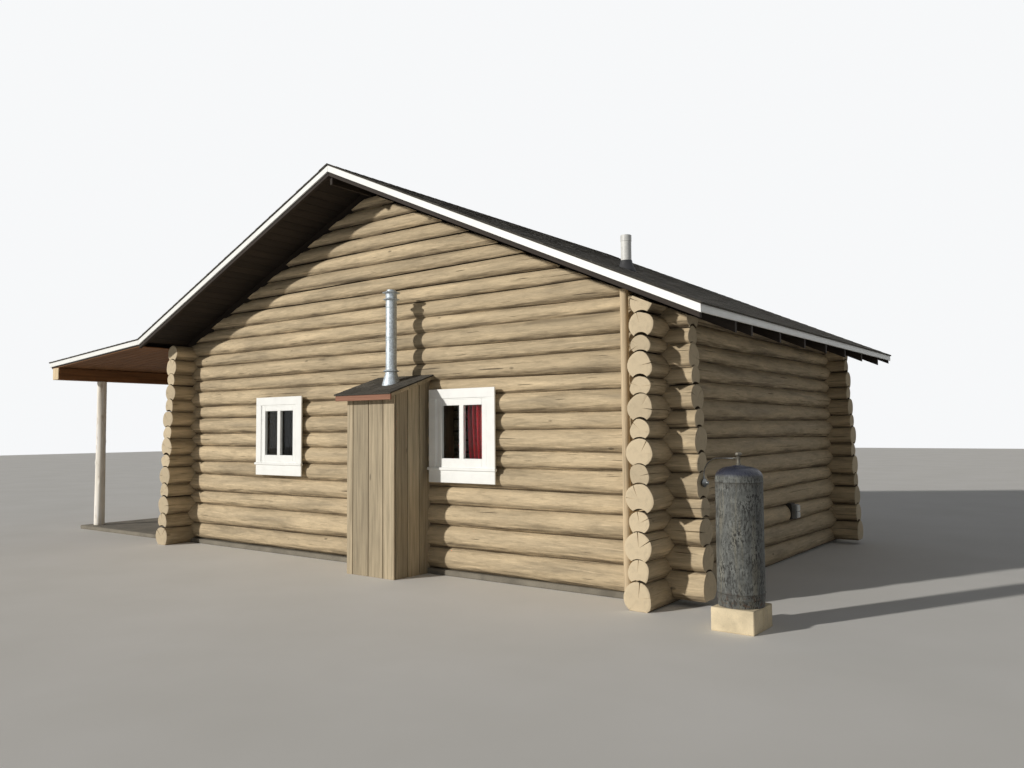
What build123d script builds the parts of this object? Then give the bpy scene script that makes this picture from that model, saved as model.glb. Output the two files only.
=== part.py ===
from build123d import *
from itertools import count
from math import atan, cos, degrees, radians, tan
import os

# A log cabin with saddle-notched corners, a shed-roofed porch and a boarded flue chase.
# Millimetres, +Z up. The origin is on the ground at the centre of the rectangle of the four
# walls' centre lines. The front gable faces -Y and the porch is on the -X side.

# Walls
wall_span = 7630           # between the centre lines of the two side walls
wall_depth = 5000          # between the centre lines of the two gable walls
slab_thickness = 60        # concrete under the floor and the porch
side_courses = 14
first_course = 221.6       # height of the lowest course of logs
course_step = 3.3          # each course is this much lower than the one under it
bedding = 30               # how deep a log beds over the log under it
log_taper = 9              # half of what a log's radius loses from butt to tip
log_sides = 12
sill_top = 290             # top of the lowest gable log
plate_radius = 128         # the top log of each side wall, which carries the rafters
side_flyway = 530          # what the side logs run past the gable walls' centre lines
gable_flyway = 440         # what the lowest gable logs run past the side walls' centre lines
flyway_step = 10.5         # each gable log is this much shorter than the one under it
corner_pole_radius = 40
corner_pole_inset = 290    # from the side wall's centre line
corner_pole_bottom = 90

# Main roof
ridge_height = 4673
right_roof_over_plate = 222.1   # from the plate log's centre up to the roof's top surface
left_roof_over_plate = 309.3
right_overhang = 753       # past the right wall's centre line
left_overhang = 258        # past the porch wall's centre line, where the porch roof starts
front_overhang = 780       # past the front gable's centre line
back_overhang = 640
shingle_thickness = 12
shingle_lip = 12           # what the shingles run past the white boards
deck_thickness = 20
rafter_width = 38
rafter_depth = 140
barge_depth = 89
ridge_board_depth = 184
trim_thickness = 19
trim_width = 89
first_rafter = 386         # from the front gable's centre line
rafter_spacing = 760
joint = 1                  # open joint between boards that meet end to end

# Porch
porch_pitch = 4.06
porch_reach = 2702         # from where the porch roof starts to its outer edge
porch_rafter_depth = 64
ceiling_thickness = 12
beam_size = 190
beam_inset = 160           # from the roof's edge to the beam's centre line
post_base_radius = 82
post_top_radius = 75
post_sides = 16
slab_past_roof = 75
slab_past_posts = 200

# Windows
window_width = 760
window_height = 790
window_bottom = 1170
window_offsets = (-1660, 1485)
porch_window_y = 1450
frame_thickness = 32
frame_inside = 120         # from the wall's centre line to the frame's inner edge
casing_width = 105
casing_thickness = 20
apron_height = 165
sash_width = 62
sash_thickness = 34
sash_setback = 12
glass_thickness = 4
sill_projection = 34
sill_thickness = 30

# Door
door_width = 860
door_height = 1990
door_bottom = 225
door_y = -700
door_thickness = 45
knob_inset = 70            # from the door's edge
knob_height = 950
knob_radius = 28
knob_neck_radius = 10
knob_rose_thickness = 6
knob_neck_end = 20
knob_length = 46

# Chase for the flue
chase_left = 205
chase_width = 750
chase_depth = 500          # from the front gable's face
chase_height = 1990
board_thickness = 22
groove_width = 6
groove_depth = 5
front_boards = 4
side_boards = 3
chase_roof_rise = 18       # degrees
chase_roof_thickness = 38
chase_overhang = 60
chase_front_overhang = 100
chase_fascia_height = 70
flue_radius = 57
flue_wall = 2
flue_offset = 55           # from the chase's middle
flue_setback = 273         # from the chase's front
flue_rise = 1200           # from the chase's height to the flue's top
flue_drop = 190            # from the chase's height to the flue's bottom
flue_cap_radius = 82
flue_cap_height = 85
flue_cone_height = 130
flue_cone_radius = 100
cone_lip = 3               # metal round the pipe at a cone's top
storm_collar_radius = 88
storm_collar_height = 30
collar_gap = 5             # between the flashing's top and the storm collar
pipe_sides = 16

# Vent through the right slope
vent_inset = 830           # from the right wall's centre line
vent_setback = 850         # from the front gable's centre line
vent_rise = 368            # above the roof
vent_drop = 430            # below the roof
vent_radius = 57
vent_wall = 6
boot_radius = 105
boot_height = 90

# Gas supply
gas_past_side = 970        # from the right wall's centre line
gas_past_front = 600       # from the front gable's centre line
block_size = 400
block_height = 185
cylinder_radius = 187.5
cylinder_height = 1110
cylinder_shoulder = 130
cylinder_sides = 24
foot_ring_height = 45
foot_ring_inset = 6
valve_height = 105
valve_radius = 16
valve_sides = 8
handwheel_radius = 26
handwheel_height = 30
valve_outlet_height = 55
valve_outlet_length = 45
valve_outlet_radius = 11
regulator_course = 4
regulator_lift = 31        # above the log's centre
regulator_radius = 42
regulator_length = 55
regulator_sides = 12
regulator_inlet_radius = 9
regulator_inlet_height = 14
tube_radius = 5
tube_sides = 8
tube_lead = 105            # from the valve's outlet to the tube's first bend
tube_bow = 180             # how far the tube's last bend but one is in front of the regulator
tube_sag = 15
tube_drop = 85             # the last straight run, down into the regulator

# Outlet
outlet_y = 690
outlet_course = 2
outlet_lift = 28           # above the log's centre
outlet_width = 120
outlet_height = 170
outlet_depth = 75
outlet_corner = 10
pad_margin = 12

fit = 0.3                  # clearance round a pipe and under what is set down on a log
overcut = 5                # how far a cut runs past the piece that it cuts

side_x = wall_span / 2
gable_y = wall_depth / 2
roof_front = -gable_y - front_overhang
roof_back = gable_y + back_overhang
right_eave = side_x + right_overhang
left_break = side_x + left_overhang
porch_edge = left_break + porch_reach


def course_height(index):
    """Height of one course of logs."""
    return first_course - course_step * min(index, side_courses - 1)


def seam(index):
    """Height of the seam under a side wall's course."""
    return sum(course_height(k) for k in range(index))


def gable_seam(index):
    """Height of the seam under a gable wall's course, half a course above the side walls' seam."""
    if index == 0:
        return slab_thickness
    if index == 1:
        return sill_top
    return (seam(index) + seam(index + 1)) / 2


def side_log(index):
    """Centre height and radius of a side wall's log."""
    if index == side_courses - 1:
        return seam(index) - bedding / 2 + plate_radius, plate_radius
    height = course_height(index)
    return seam(index) + height / 2, (height + bedding) / 2


def gable_log(index):
    """Centre height and radius of a gable wall's log."""
    low, high = gable_seam(index), gable_seam(index + 1)
    return (low + high) / 2, (high - low + bedding) / 2


plate_height = side_log(side_courses - 1)[0]
right_slope = (ridge_height - plate_height - right_roof_over_plate) / side_x
left_slope = (ridge_height - plate_height - left_roof_over_plate) / side_x
right_pitch = degrees(atan(right_slope))
left_pitch = degrees(atan(left_slope))


def roof_drop(pitch, thickness):
    """Vertical thickness of a layer that lies on a slope."""
    return thickness / cos(radians(pitch))


def roof_top(x):
    """Height of the roof's top surface at a distance x from the ridge, to the right or the left."""
    if x >= 0:
        return ridge_height - x * right_slope
    if x >= -left_break:
        return ridge_height + x * left_slope
    return roof_top(-left_break) + (x + left_break) * tan(radians(porch_pitch))


# Depths below the roof's top surface, measured square to the slope
deck_above = shingle_thickness
rafter_above = deck_above + deck_thickness
roof_depth = rafter_above + rafter_depth
under_ridge = ridge_height - roof_drop(right_pitch, roof_depth)
gable_courses = next(n for n in count(side_courses) if gable_seam(n) > under_ridge - bedding)


def export(name, *pieces):
    """Label a finished sub-part and write it."""
    with BuildPart() as node:
        add(pieces)
    node.part.label = name
    export_step(node.part, f"parts/{name}.step")


def cut(piece, *others):
    """A piece with others cut out of it."""
    with BuildPart() as rest:
        add(piece)
        add(others, mode=Mode.SUBTRACT)
    return rest.part


def box(x_from, x_to, y_from, y_to, z_from, z_to):
    """An upright box between two corners."""
    with BuildPart() as block:
        with Locations(((x_from + x_to) / 2, (y_from + y_to) / 2, (z_from + z_to) / 2)):
            Box(x_to - x_from, y_to - y_from, z_to - z_from)
    return block.part


def turned(place, stations, sides):
    """A turned piece as a stack of tapered prisms, from (distance, radius) stations along its axis."""
    with BuildPart() as piece:
        for (low, low_radius), (high, high_radius) in zip(stations, stations[1:]):
            if high > low:
                with BuildSketch(Plane.XY.offset(low)):
                    RegularPolygon(low_radius, sides, major_radius=False, rotation=180 / sides)
                extrude(amount=high - low, taper=degrees(atan((low_radius - high_radius) / (high - low))))
    return place.location * piece.part


def upright(x, y, z):
    """A level plane at a point, for what stands on it."""
    return Plane(origin=(x, y, z))


def frame(outer, holes, y_from, y_to):
    """A flat frame that faces -Y; outer and each hole are x, x, z and z."""
    with BuildPart() as ring:
        with BuildSketch(Plane.XZ.offset(-y_from)):
            for number, (x_low, x_high, z_low, z_high) in enumerate([outer, *holes]):
                with Locations(((x_low + x_high) / 2, (z_low + z_high) / 2)):
                    mode = Mode.SUBTRACT if number else Mode.ADD
                    Rectangle(x_high - x_low, z_high - z_low, mode=mode)
        extrude(amount=-(y_to - y_from))
    return ring.part


def slope_layer(x_in, x_out, pitch, above, thickness, y_from, y_to):
    """A layer of a roof slope between two distances from the ridge and between two depths."""
    top = roof_drop(pitch, above)
    low = roof_drop(pitch, above + thickness)
    inner = roof_top(x_out) + abs(x_in - x_out) * tan(radians(pitch))
    outer = roof_top(x_out)
    with BuildPart() as layer:
        with BuildSketch(Plane.XZ.offset(-y_from)):
            with BuildLine():
                Polyline(
                    (x_in, inner - top),
                    (x_out, outer - top),
                    (x_out, outer - low),
                    (x_in, inner - low),
                    close=True,
                )
            make_face()
        extrude(amount=-(y_to - y_from))
    return layer.part


def roof_space():
    """Everything above the rafters' undersides, which trims the tops of logs."""
    left_low = ridge_height - roof_drop(left_pitch, roof_depth)
    with BuildPart() as space:
        with BuildSketch(Plane.XZ.offset(-roof_front)):
            with BuildLine():
                Polyline(
                    (-right_eave, left_low - right_eave * left_slope),
                    (0, left_low),
                    (0, under_ridge),
                    (right_eave, under_ridge - right_eave * right_slope),
                    (right_eave, ridge_height),
                    (-right_eave, ridge_height),
                    close=True,
                )
            make_face()
        extrude(amount=-(roof_back - roof_front))
    return space.part


def log_blank(length, radius, start, direction, butt_first):
    """A tapered log before it is cut, from a start point along a horizontal direction."""
    first = Vector(*start)
    along = Vector(*direction)
    if not butt_first:
        first = first + along * length
        along = along * -1
    place = Plane(origin=first, x_dir=(0, 0, 1), z_dir=along)
    return turned(place, [(0, radius + log_taper), (length, radius - log_taper)], log_sides)


def side_blank(side, index):
    """The uncut log of a course of a side wall; side is 1 for the right wall and -1 for the porch."""
    height, radius = side_log(index)
    length = wall_depth + 2 * side_flyway
    return log_blank(length, radius, (side * side_x, -length / 2, height), (0, 1, 0), index % 2 == 0)


def gable_blank(side, index):
    """The uncut log of a course of a gable wall; side is -1 for the front gable and 1 for the back."""
    height, radius = gable_log(index)
    flyway = gable_flyway - flyway_step * index
    if index >= side_courses - 1:
        flyway = 0
    length = wall_span + 2 * flyway
    return log_blank(length, radius, (-length / 2, side * gable_y, height), (1, 0, 0), index % 2 == 1)


def crown(index, x):
    """Radius of a gable wall's log at a place along it, where the butts of odd courses are at -X."""
    radius = gable_log(index)[1]
    half_length = side_x + gable_flyway - flyway_step * index
    lean = -1 if index % 2 else 1
    return radius + lean * log_taper * x / half_length


def reaches_up(own, height, radius):
    """The logs below a log's centre that reach into its lower half, from (height, radius, blank)."""
    return [
        blank
        for level, reach, blank in own
        if level < height and level + reach + log_taper > height - radius - log_taper
    ]


def wall_logs(blanks, crossing, openings, measure, cross_measure, under_first):
    """The finished logs of one wall: each is coped over the log below it and saddle-notched over the
    logs that it crosses, and the openings and the roof are cut out of it."""
    own = [(*measure(index), blank) for index, blank in enumerate(blanks)]
    others = [(*cross_measure(index), blank) for row in crossing for index, blank in enumerate(row)]
    lowest_rafter = roof_top(side_x + gable_flyway) - roof_drop(right_pitch, roof_depth)
    logs = []
    for index, (height, radius, blank) in enumerate(own):
        cutters = reaches_up(own[:index] + others, height, radius)
        low, high = height - radius - log_taper, height + radius + log_taper
        cutters += [hole for bottom, top, hole in openings if bottom < high and top > low]
        if index == 0:
            cutters.append(under_first)
        if high > lowest_rafter:
            cutters.append(space_above)
        logs.append(cut(blank, *cutters))
    return logs


os.makedirs("parts", exist_ok=True)

# The four walls of logs, and the openings in them
space_above = roof_space()
right_blanks = [side_blank(1, index) for index in range(side_courses)]
porch_blanks = [side_blank(-1, index) for index in range(side_courses)]
front_blanks = [gable_blank(-1, index) for index in range(gable_courses)]
back_blanks = [gable_blank(1, index) for index in range(gable_courses)]
side_rows = [right_blanks, porch_blanks]
gable_rows = [front_blanks, back_blanks]
wide = wall_span
ground = box(-wide, wide, -wide, wide, -first_course, 0)
slab_zone = box(-wide, wide, -wide, wide, -first_course, slab_thickness)
window_top = window_bottom + window_height
door_top = door_bottom + door_height
front_openings = [
    (
        window_bottom,
        window_top,
        box(
            x - window_width / 2, x + window_width / 2, -gable_y - side_flyway, -gable_y + side_flyway,
            window_bottom, window_top,
        ),
    )
    for x in window_offsets
]
porch_openings = [
    (
        low,
        high,
        box(-side_x - side_flyway, -side_x + side_flyway, middle - width / 2, middle + width / 2, low, high),
    )
    for middle, width, low, high in (
        (porch_window_y, window_width, window_bottom, window_top),
        (door_y, door_width, door_bottom, door_top),
    )
]
walls = {
    "right_wall_logs": wall_logs(right_blanks, gable_rows, [], side_log, gable_log, ground),
    "porch_wall_logs": wall_logs(porch_blanks, gable_rows, porch_openings, side_log, gable_log, ground),
    "front_gable_logs": wall_logs(front_blanks, side_rows, front_openings, gable_log, side_log, slab_zone),
    "back_gable_logs": wall_logs(back_blanks, side_rows, [], gable_log, side_log, slab_zone),
}
for name, logs in walls.items():
    for first, word in enumerate(("odd", "even")):
        export(f"{name}_{word}", *logs[first::2])

# Concrete under the floor and the porch
slab_reach = gable_y + gable_log(0)[1]
floor = cut(
    box(-side_x, side_x, -slab_reach, slab_reach, 0, slab_thickness), right_blanks[0], porch_blanks[0]
)
porch_half = gable_y + slab_past_posts
porch = cut(
    box(-porch_edge - slab_past_roof, -side_x, -porch_half, porch_half, 0, slab_thickness), porch_blanks[0]
)
export("floor_slab", floor.solids().sort_by(SortBy.VOLUME)[-1])
export("porch_slab", porch.solids().sort_by(Axis.X)[0])

# Round pole in the front gable's right corner, up to the rafters
pole_x = side_x - corner_pole_inset
pole_y = -gable_y - max(crown(0, pole_x), crown(1, pole_x)) - corner_pole_radius - fit
pole_ends = [(corner_pole_bottom, corner_pole_radius), (ridge_height, corner_pole_radius)]
export("corner_pole", cut(turned(upright(pole_x, pole_y, 0), pole_ends, log_sides), space_above))

# Roof structure
inner_front = roof_front + trim_thickness
inner_back = roof_back - trim_thickness
inner_rafters = 1 + int((wall_depth - first_rafter - rafter_spacing / 2) // rafter_spacing)
rafter_places = [-gable_y + first_rafter + rafter_spacing * k for k in range(inner_rafters)]
rafter_places = [-gable_y] + rafter_places + [gable_y]
half = rafter_width / 2
ridge_low = ridge_height - roof_drop(right_pitch, rafter_above) - half * right_slope
ridge_bottom = ridge_low - ridge_board_depth
ridge_board = box(-half, half, inner_front + rafter_width, inner_back - rafter_width, ridge_bottom, ridge_low)
peak_logs = [
    row[index]
    for row in gable_rows
    for index in range(gable_courses)
    if sum(gable_log(index)) + log_taper > ridge_bottom
]
export("ridge_board", cut(ridge_board, *peak_logs))


def right_board(x_in, x_out, above, depth, y, width):
    """A board that runs up the right slope, with one face at a depth y."""
    return slope_layer(x_in, x_out, right_pitch, above, depth, y, y + width)


def left_board(x_in, x_out, above, depth, y, width):
    """A board that runs up the left slope."""
    return slope_layer(-x_in, -x_out, left_pitch, above, depth, y, y + width)


def porch_board(x_in, x_out, above, depth, y, width):
    """A board that runs up the porch roof's slope."""
    return slope_layer(-x_in, -x_out, porch_pitch, above, depth, y, y + width)


right_end = right_eave - trim_thickness
porch_end = porch_edge - trim_thickness
rafters = []
for y in rafter_places:
    rafters.append(right_board(half, right_end, rafter_above, rafter_depth, y - half, rafter_width))
    rafters.append(left_board(half, left_break, rafter_above, rafter_depth, y - half, rafter_width))
export("main_rafters", *rafters)

# Porch rafters lie against the sides of the main rafters' tails
porch_rafters = []
for y in rafter_places:
    beside = -rafter_width if y == gable_y else rafter_width
    porch_rafters.append(
        porch_board(left_break, porch_end, rafter_above, porch_rafter_depth, y + beside - half, rafter_width)
    )
export("porch_rafters", *porch_rafters)

# Barge rafters under the decks' ends, and the white boards that cover them
barges = []
for y in (inner_front, inner_back - rafter_width):
    barges.append(right_board(joint / 2, right_end, rafter_above, barge_depth, y, rafter_width))
    barges.append(left_board(joint / 2, left_break - joint, rafter_above, barge_depth, y, rafter_width))
    barges.append(porch_board(left_break, porch_end, rafter_above, porch_rafter_depth, y, rafter_width))
export("barge_rafters", *barges)
rakes = []
for y in (roof_front, roof_back - trim_thickness):
    rakes.append(right_board(joint / 2, right_eave, deck_above, trim_width, y, trim_thickness))
    rakes.append(left_board(joint / 2, left_break - joint, deck_above, trim_width, y, trim_thickness))
    rakes.append(porch_board(left_break, porch_edge, deck_above, trim_width, y, trim_thickness))
export("rake_boards", *rakes)
inner_length = inner_back - inner_front
export(
    "fascia_boards",
    right_board(right_end, right_eave, deck_above, trim_width, inner_front, inner_length),
    porch_board(porch_end, porch_edge, deck_above, trim_width, inner_front, inner_length),
)

# Decks, shingles and the porch's ceiling, with the hole that the vent passes through
vent_x = side_x - vent_inset
vent_y = -gable_y + vent_setback
roof_at_vent = roof_top(vent_x)
vent_ends = (roof_at_vent - vent_drop, roof_at_vent + vent_rise)
vent_hole = turned(upright(vent_x, vent_y, 0), [(z, vent_radius + fit) for z in vent_ends], pipe_sides)
lip_front = roof_front - shingle_lip
lip_length = roof_back + shingle_lip - lip_front
lip_edge = right_eave + shingle_lip
porch_lip_edge = porch_edge + shingle_lip
deck_right = right_board(0, right_end, deck_above, deck_thickness, inner_front, inner_length)
export("right_deck", cut(deck_right, vent_hole))
export("left_deck", left_board(0, left_break, deck_above, deck_thickness, inner_front, inner_length))
deck_porch = porch_board(left_break, porch_end, deck_above, deck_thickness, inner_front, inner_length)
export("porch_deck", deck_porch)
shingles_right = right_board(0, lip_edge, 0, shingle_thickness, lip_front, lip_length)
export("right_shingles", cut(shingles_right, vent_hole))
export("left_shingles", left_board(0, left_break, 0, shingle_thickness, lip_front, lip_length))
export("porch_shingles", porch_board(left_break, porch_lip_edge, 0, shingle_thickness, lip_front, lip_length))
ceiling_above = rafter_above + porch_rafter_depth
export(
    "porch_ceiling",
    porch_board(left_break, porch_end, ceiling_above, ceiling_thickness, inner_front, inner_length),
)

# Porch beam, its top cut to the roof's slope, and its posts
beam_x = -porch_edge + beam_inset
beam_half = beam_size / 2
beam_top = roof_top(beam_x) - roof_drop(porch_pitch, ceiling_above + ceiling_thickness)
rise = beam_half * tan(radians(porch_pitch))
with BuildPart() as porch_beam:
    with BuildSketch(Plane.XZ.offset(-inner_front)):
        with BuildLine():
            Polyline(
                (beam_x - beam_half, beam_top - beam_size),
                (beam_x + beam_half, beam_top - beam_size),
                (beam_x + beam_half, beam_top + rise),
                (beam_x - beam_half, beam_top - rise),
                close=True,
            )
        make_face()
    extrude(amount=-inner_length)
export("porch_beam", porch_beam.part)
post_ends = [(slab_thickness, post_base_radius), (beam_top - beam_size, post_top_radius)]
export("porch_posts", *[turned(upright(beam_x, y, 0), post_ends, post_sides) for y in (-gable_y, 0, gable_y)])

# Windows, drawn once at the origin, looking out along -Y, and set into each wall
frame_face = -gable_log(1)[1] - log_taper
casing_face = frame_face - casing_thickness
lap = frame_thickness / 2
casing_out = casing_width - lap
half_window = window_width / 2
sash_half = half_window - frame_thickness
sash_top = window_height - frame_thickness
pane_half = sash_half - sash_width
panes = [
    (x_from, x_to, frame_thickness + sash_width, sash_top - sash_width)
    for x_from, x_to in ((-pane_half, -sash_width / 2), (sash_width / 2, pane_half))
]
sash_front = frame_face + sash_setback
glass_front = sash_front + (sash_thickness - glass_thickness) / 2
window_box = frame(
    (-half_window, half_window, 0, window_height), [(-sash_half, sash_half, frame_thickness, sash_top)],
    frame_face, frame_inside,
)
casing_half = half_window + casing_out
sill_half = casing_half + sill_thickness / 2
with BuildPart() as window_casing:
    add(
        frame(
            (-casing_half, casing_half, lap - apron_height, window_height + casing_out),
            [(lap - half_window, half_window - lap, lap, window_height - lap)],
            casing_face, frame_face,
        )
    )
    add(box(-sill_half, sill_half, casing_face - sill_projection, casing_face, lap - sill_thickness, lap))
window_sash = frame(
    (-sash_half, sash_half, frame_thickness, sash_top), panes, sash_front, sash_front + sash_thickness
)
window_panes = [
    box(x_from, x_to, glass_front, glass_front + glass_thickness, low, high)
    for x_from, x_to, low, high in panes
]
window_places = [Plane(origin=(x, -gable_y, window_bottom)) for x in window_offsets]
window_places.append(Plane(origin=(-side_x, porch_window_y, window_bottom), x_dir=(0, -1, 0)))

# Door of the porch wall, closed, drawn like the windows
door_place = Plane(origin=(-side_x, door_y, door_bottom), x_dir=(0, -1, 0))
half_door = door_width / 2
door_face = -side_log(1)[1] - log_taper
door_back = door_face - casing_thickness
inside_half = half_door - frame_thickness
door_box = frame(
    (-half_door, half_door, 0, door_height),
    [(-inside_half, inside_half, frame_thickness, door_height - frame_thickness)],
    door_face, frame_inside,
)
door_casing_half = half_door + casing_out
door_casing = frame(
    (-door_casing_half, door_casing_half, 0, door_height + casing_out),
    [(lap - half_door, half_door - lap, -overcut, door_height - lap)],
    door_back, door_face,
)
door_edge = inside_half - fit
door_front = door_face + sash_setback
door_panel = box(
    -door_edge, door_edge, door_front, door_front + door_thickness,
    frame_thickness + fit, door_height - frame_thickness - fit,
)
knob_place = Plane(origin=(door_edge - knob_inset, door_front, knob_height), z_dir=(0, -1, 0))
knob_stations = [
    (0, knob_radius),
    (knob_rose_thickness, knob_radius),
    (knob_rose_thickness, knob_neck_radius),
    (knob_neck_end, knob_neck_radius),
    (knob_neck_end, knob_radius),
    (knob_length, knob_radius),
]


def set_in(place, *pieces):
    """Pieces drawn at the origin, set into a wall."""
    return [place.location * piece for piece in pieces]


window_frames = [piece for place in window_places for piece in set_in(place, window_box)]
window_casings = [piece for place in window_places for piece in set_in(place, window_casing.part)]
export("window_and_door_frames", *window_frames, *set_in(door_place, door_box))
export("window_and_door_casings", *window_casings, *set_in(door_place, door_casing))
export("window_sashes", *[piece for place in window_places for piece in set_in(place, window_sash)])
export("window_glass", *[piece for place in window_places for piece in set_in(place, *window_panes)])
export("door_panel", *set_in(door_place, door_panel))
export("door_knob", *set_in(door_place, turned(knob_place, knob_stations, log_sides)))

# Chase against the front gable, its boards' edges scribed to the logs
gable_face = -gable_y + frame_face
chase_front = gable_face - chase_depth
chase_right = chase_left + chase_width
chase_slope = tan(radians(chase_roof_rise))
chase_cos = cos(radians(chase_roof_rise))
tallest = chase_height + chase_depth


def chase_layer(above, thickness, overhang, front):
    """A layer of the chase's roof, on its slope, from its front edge back into the gable's logs."""
    y_front = chase_front - front
    low = chase_height + (y_front - chase_front) * chase_slope + above / chase_cos
    high = low + thickness / chase_cos
    rise_back = (-gable_y - y_front) * chase_slope
    with BuildPart() as layer:
        with BuildSketch(Plane.YZ.offset(chase_left - overhang)):
            with BuildLine():
                Polyline(
                    (y_front, low),
                    (-gable_y, low + rise_back),
                    (-gable_y, high + rise_back),
                    (y_front, high),
                    close=True,
                )
            make_face()
        extrude(amount=chase_width + 2 * overhang)
    return layer.part


with BuildPart() as chase:
    with BuildSketch():
        with BuildLine():
            Polyline(
                (chase_left, -gable_y),
                (chase_left, chase_front),
                (chase_right, chase_front),
                (chase_right, -gable_y),
                (chase_right - board_thickness, -gable_y),
                (chase_right - board_thickness, chase_front + board_thickness),
                (chase_left + board_thickness, chase_front + board_thickness),
                (chase_left + board_thickness, -gable_y),
                close=True,
            )
        make_face()
        for k in range(1, front_boards):
            with Locations((chase_left + chase_width * k / front_boards, chase_front)):
                Rectangle(groove_width, 2 * groove_depth, mode=Mode.SUBTRACT)
        for k in range(1, side_boards):
            y = chase_front + chase_depth * k / side_boards
            with Locations((chase_left, y), (chase_right, y)):
                Rectangle(2 * groove_depth, groove_width, mode=Mode.SUBTRACT)
    extrude(amount=tallest)
above_chase = chase_layer(0, 2 * chase_depth, chase_overhang, chase_front_overhang)
behind_chase = [
    blank for index, blank in enumerate(front_blanks) if gable_seam(index) - bedding < tallest
]
chase_box = cut(chase.part, above_chase, floor, *behind_chase)
export("chase_box", chase_box.solids().sort_by(SortBy.VOLUME)[-1])
flue_x = chase_left + chase_width / 2 + flue_offset
flue_y = chase_front + flue_setback
flue_top = chase_height + flue_rise
flue_bottom = chase_height - flue_drop
flue_place = upright(flue_x, flue_y, 0)
flue_hole = turned(flue_place, [(z, flue_radius + fit) for z in (flue_bottom, flue_top)], pipe_sides)
chase_deck = chase_layer(0, chase_roof_thickness, chase_overhang, chase_front_overhang)
shingle_front = chase_front_overhang + trim_thickness + shingle_lip
chase_shingles = chase_layer(
    chase_roof_thickness, shingle_thickness, chase_overhang + shingle_lip, shingle_front
)
for name, layer in (("chase_deck", chase_deck), ("chase_shingles", chase_shingles)):
    export(name, cut(layer, flue_hole, *behind_chase).solids().sort_by(SortBy.VOLUME)[-1])
fascia_back = chase_front - chase_front_overhang
fascia_top = chase_height - chase_front_overhang * chase_slope + chase_roof_thickness / chase_cos
export(
    "chase_fascia",
    box(
        chase_left - chase_overhang, chase_right + chase_overhang, fascia_back - trim_thickness, fascia_back,
        fascia_top - chase_fascia_height, fascia_top - trim_thickness * chase_slope,
    ),
)


def pipe(place, low, high, radius, bore_radius):
    """A pipe along a place's axis."""
    outside = turned(place, [(low, radius), (high, radius)], pipe_sides)
    bore = turned(place, [(low - overcut, bore_radius), (high + overcut, bore_radius)], pipe_sides)
    return cut(outside, bore)


def cone(place, low, low_radius, high, high_radius, bore_radius):
    """A cone with its top cut off, round a pipe."""
    outside = turned(place, [(low, low_radius), (high, high_radius)], pipe_sides)
    bore = turned(place, [(low - overcut, bore_radius), (high + overcut, bore_radius)], pipe_sides)
    return cut(outside, bore)


# Flue with its cap, its flashing and its storm collar
roof_at_flue = (
    chase_height + flue_setback * chase_slope + (chase_roof_thickness + shingle_thickness) / chase_cos
)
flue_bore = flue_radius + fit
pipe_top = flue_top - flue_cap_height / 2
export("flue_pipe", pipe(flue_place, flue_bottom, pipe_top, flue_radius, flue_radius - flue_wall))
cap_low = flue_top - flue_cap_height
with BuildPart() as flue_cap:
    add(pipe(flue_place, cap_low, flue_top, flue_cap_radius, flue_cap_radius - flue_wall))
    add(pipe(flue_place, cap_low, cap_low + flue_wall, flue_cap_radius, flue_bore))
export("flue_cap", flue_cap.part)
under_cone = chase_layer(
    -chase_height, chase_height + chase_roof_thickness + shingle_thickness, chase_width, chase_depth
)
cone_low = roof_at_flue - flue_cone_radius * chase_slope
cone_high = roof_at_flue + flue_cone_height
flashing = cone(flue_place, cone_low, flue_cone_radius, cone_high, flue_bore + cone_lip, flue_bore)
storm_low = cone_high + collar_gap
storm_high = storm_low + storm_collar_height
storm_collar = cone(flue_place, storm_low, storm_collar_radius, storm_high, flue_bore + cone_lip, flue_bore)
export("flue_flashings", cut(flashing, under_cone).solids().sort_by(Axis.Z)[-1], storm_collar)

# Vent and its boot
vent_place = upright(vent_x, vent_y, 0)
export("vent_pipe", pipe(vent_place, *vent_ends, vent_radius, vent_radius - vent_wall))
boot_low = roof_at_vent - boot_radius * right_slope
boot_bore = vent_radius + fit
boot = cone(vent_place, boot_low, boot_radius, roof_at_vent + boot_height, boot_bore + cone_lip, boot_bore)
under_roof = slope_layer(0, right_eave, right_pitch, 0, ridge_height / 2, inner_front, inner_back)
export("vent_boot", cut(boot, under_roof).solids().sort_by(Axis.Z)[-1])

# Gas supply beside the corner, its cylinder domed over the shoulder
gas_x = side_x + gas_past_side
gas_y = -gable_y - gas_past_front
block_half = block_size / 2
export(
    "cylinder_block",
    box(gas_x - block_half, gas_x + block_half, gas_y - block_half, gas_y + block_half, 0, block_height),
)
cylinder_place = upright(gas_x, gas_y, block_height)
foot_radius = cylinder_radius - foot_ring_inset
cylinder_stations = [
    (0, foot_radius),
    (foot_ring_height, foot_radius),
    (foot_ring_height + 2 * foot_ring_inset, cylinder_radius),
    (cylinder_height - cylinder_shoulder, cylinder_radius),
    (cylinder_height - 0.6 * cylinder_shoulder, 0.92 * cylinder_radius),
    (cylinder_height - 0.25 * cylinder_shoulder, 0.7 * cylinder_radius),
    (cylinder_height, 0.35 * cylinder_radius),
]
export("gas_cylinder", turned(cylinder_place, cylinder_stations, cylinder_sides))
valve_place = upright(gas_x, gas_y, block_height + cylinder_height)
outlet_level = block_height + cylinder_height + valve_outlet_height
outlet_place = Plane(origin=(gas_x, gas_y, outlet_level), x_dir=(0, 1, 0), z_dir=(-1, 0, 0))
handwheel_low = valve_height - handwheel_height
valve_stations = [
    (0, valve_radius),
    (handwheel_low, valve_radius),
    (handwheel_low, handwheel_radius),
    (valve_height, handwheel_radius),
]
outlet_ends = [(0, valve_outlet_radius), (valve_outlet_length, valve_outlet_radius)]
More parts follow.
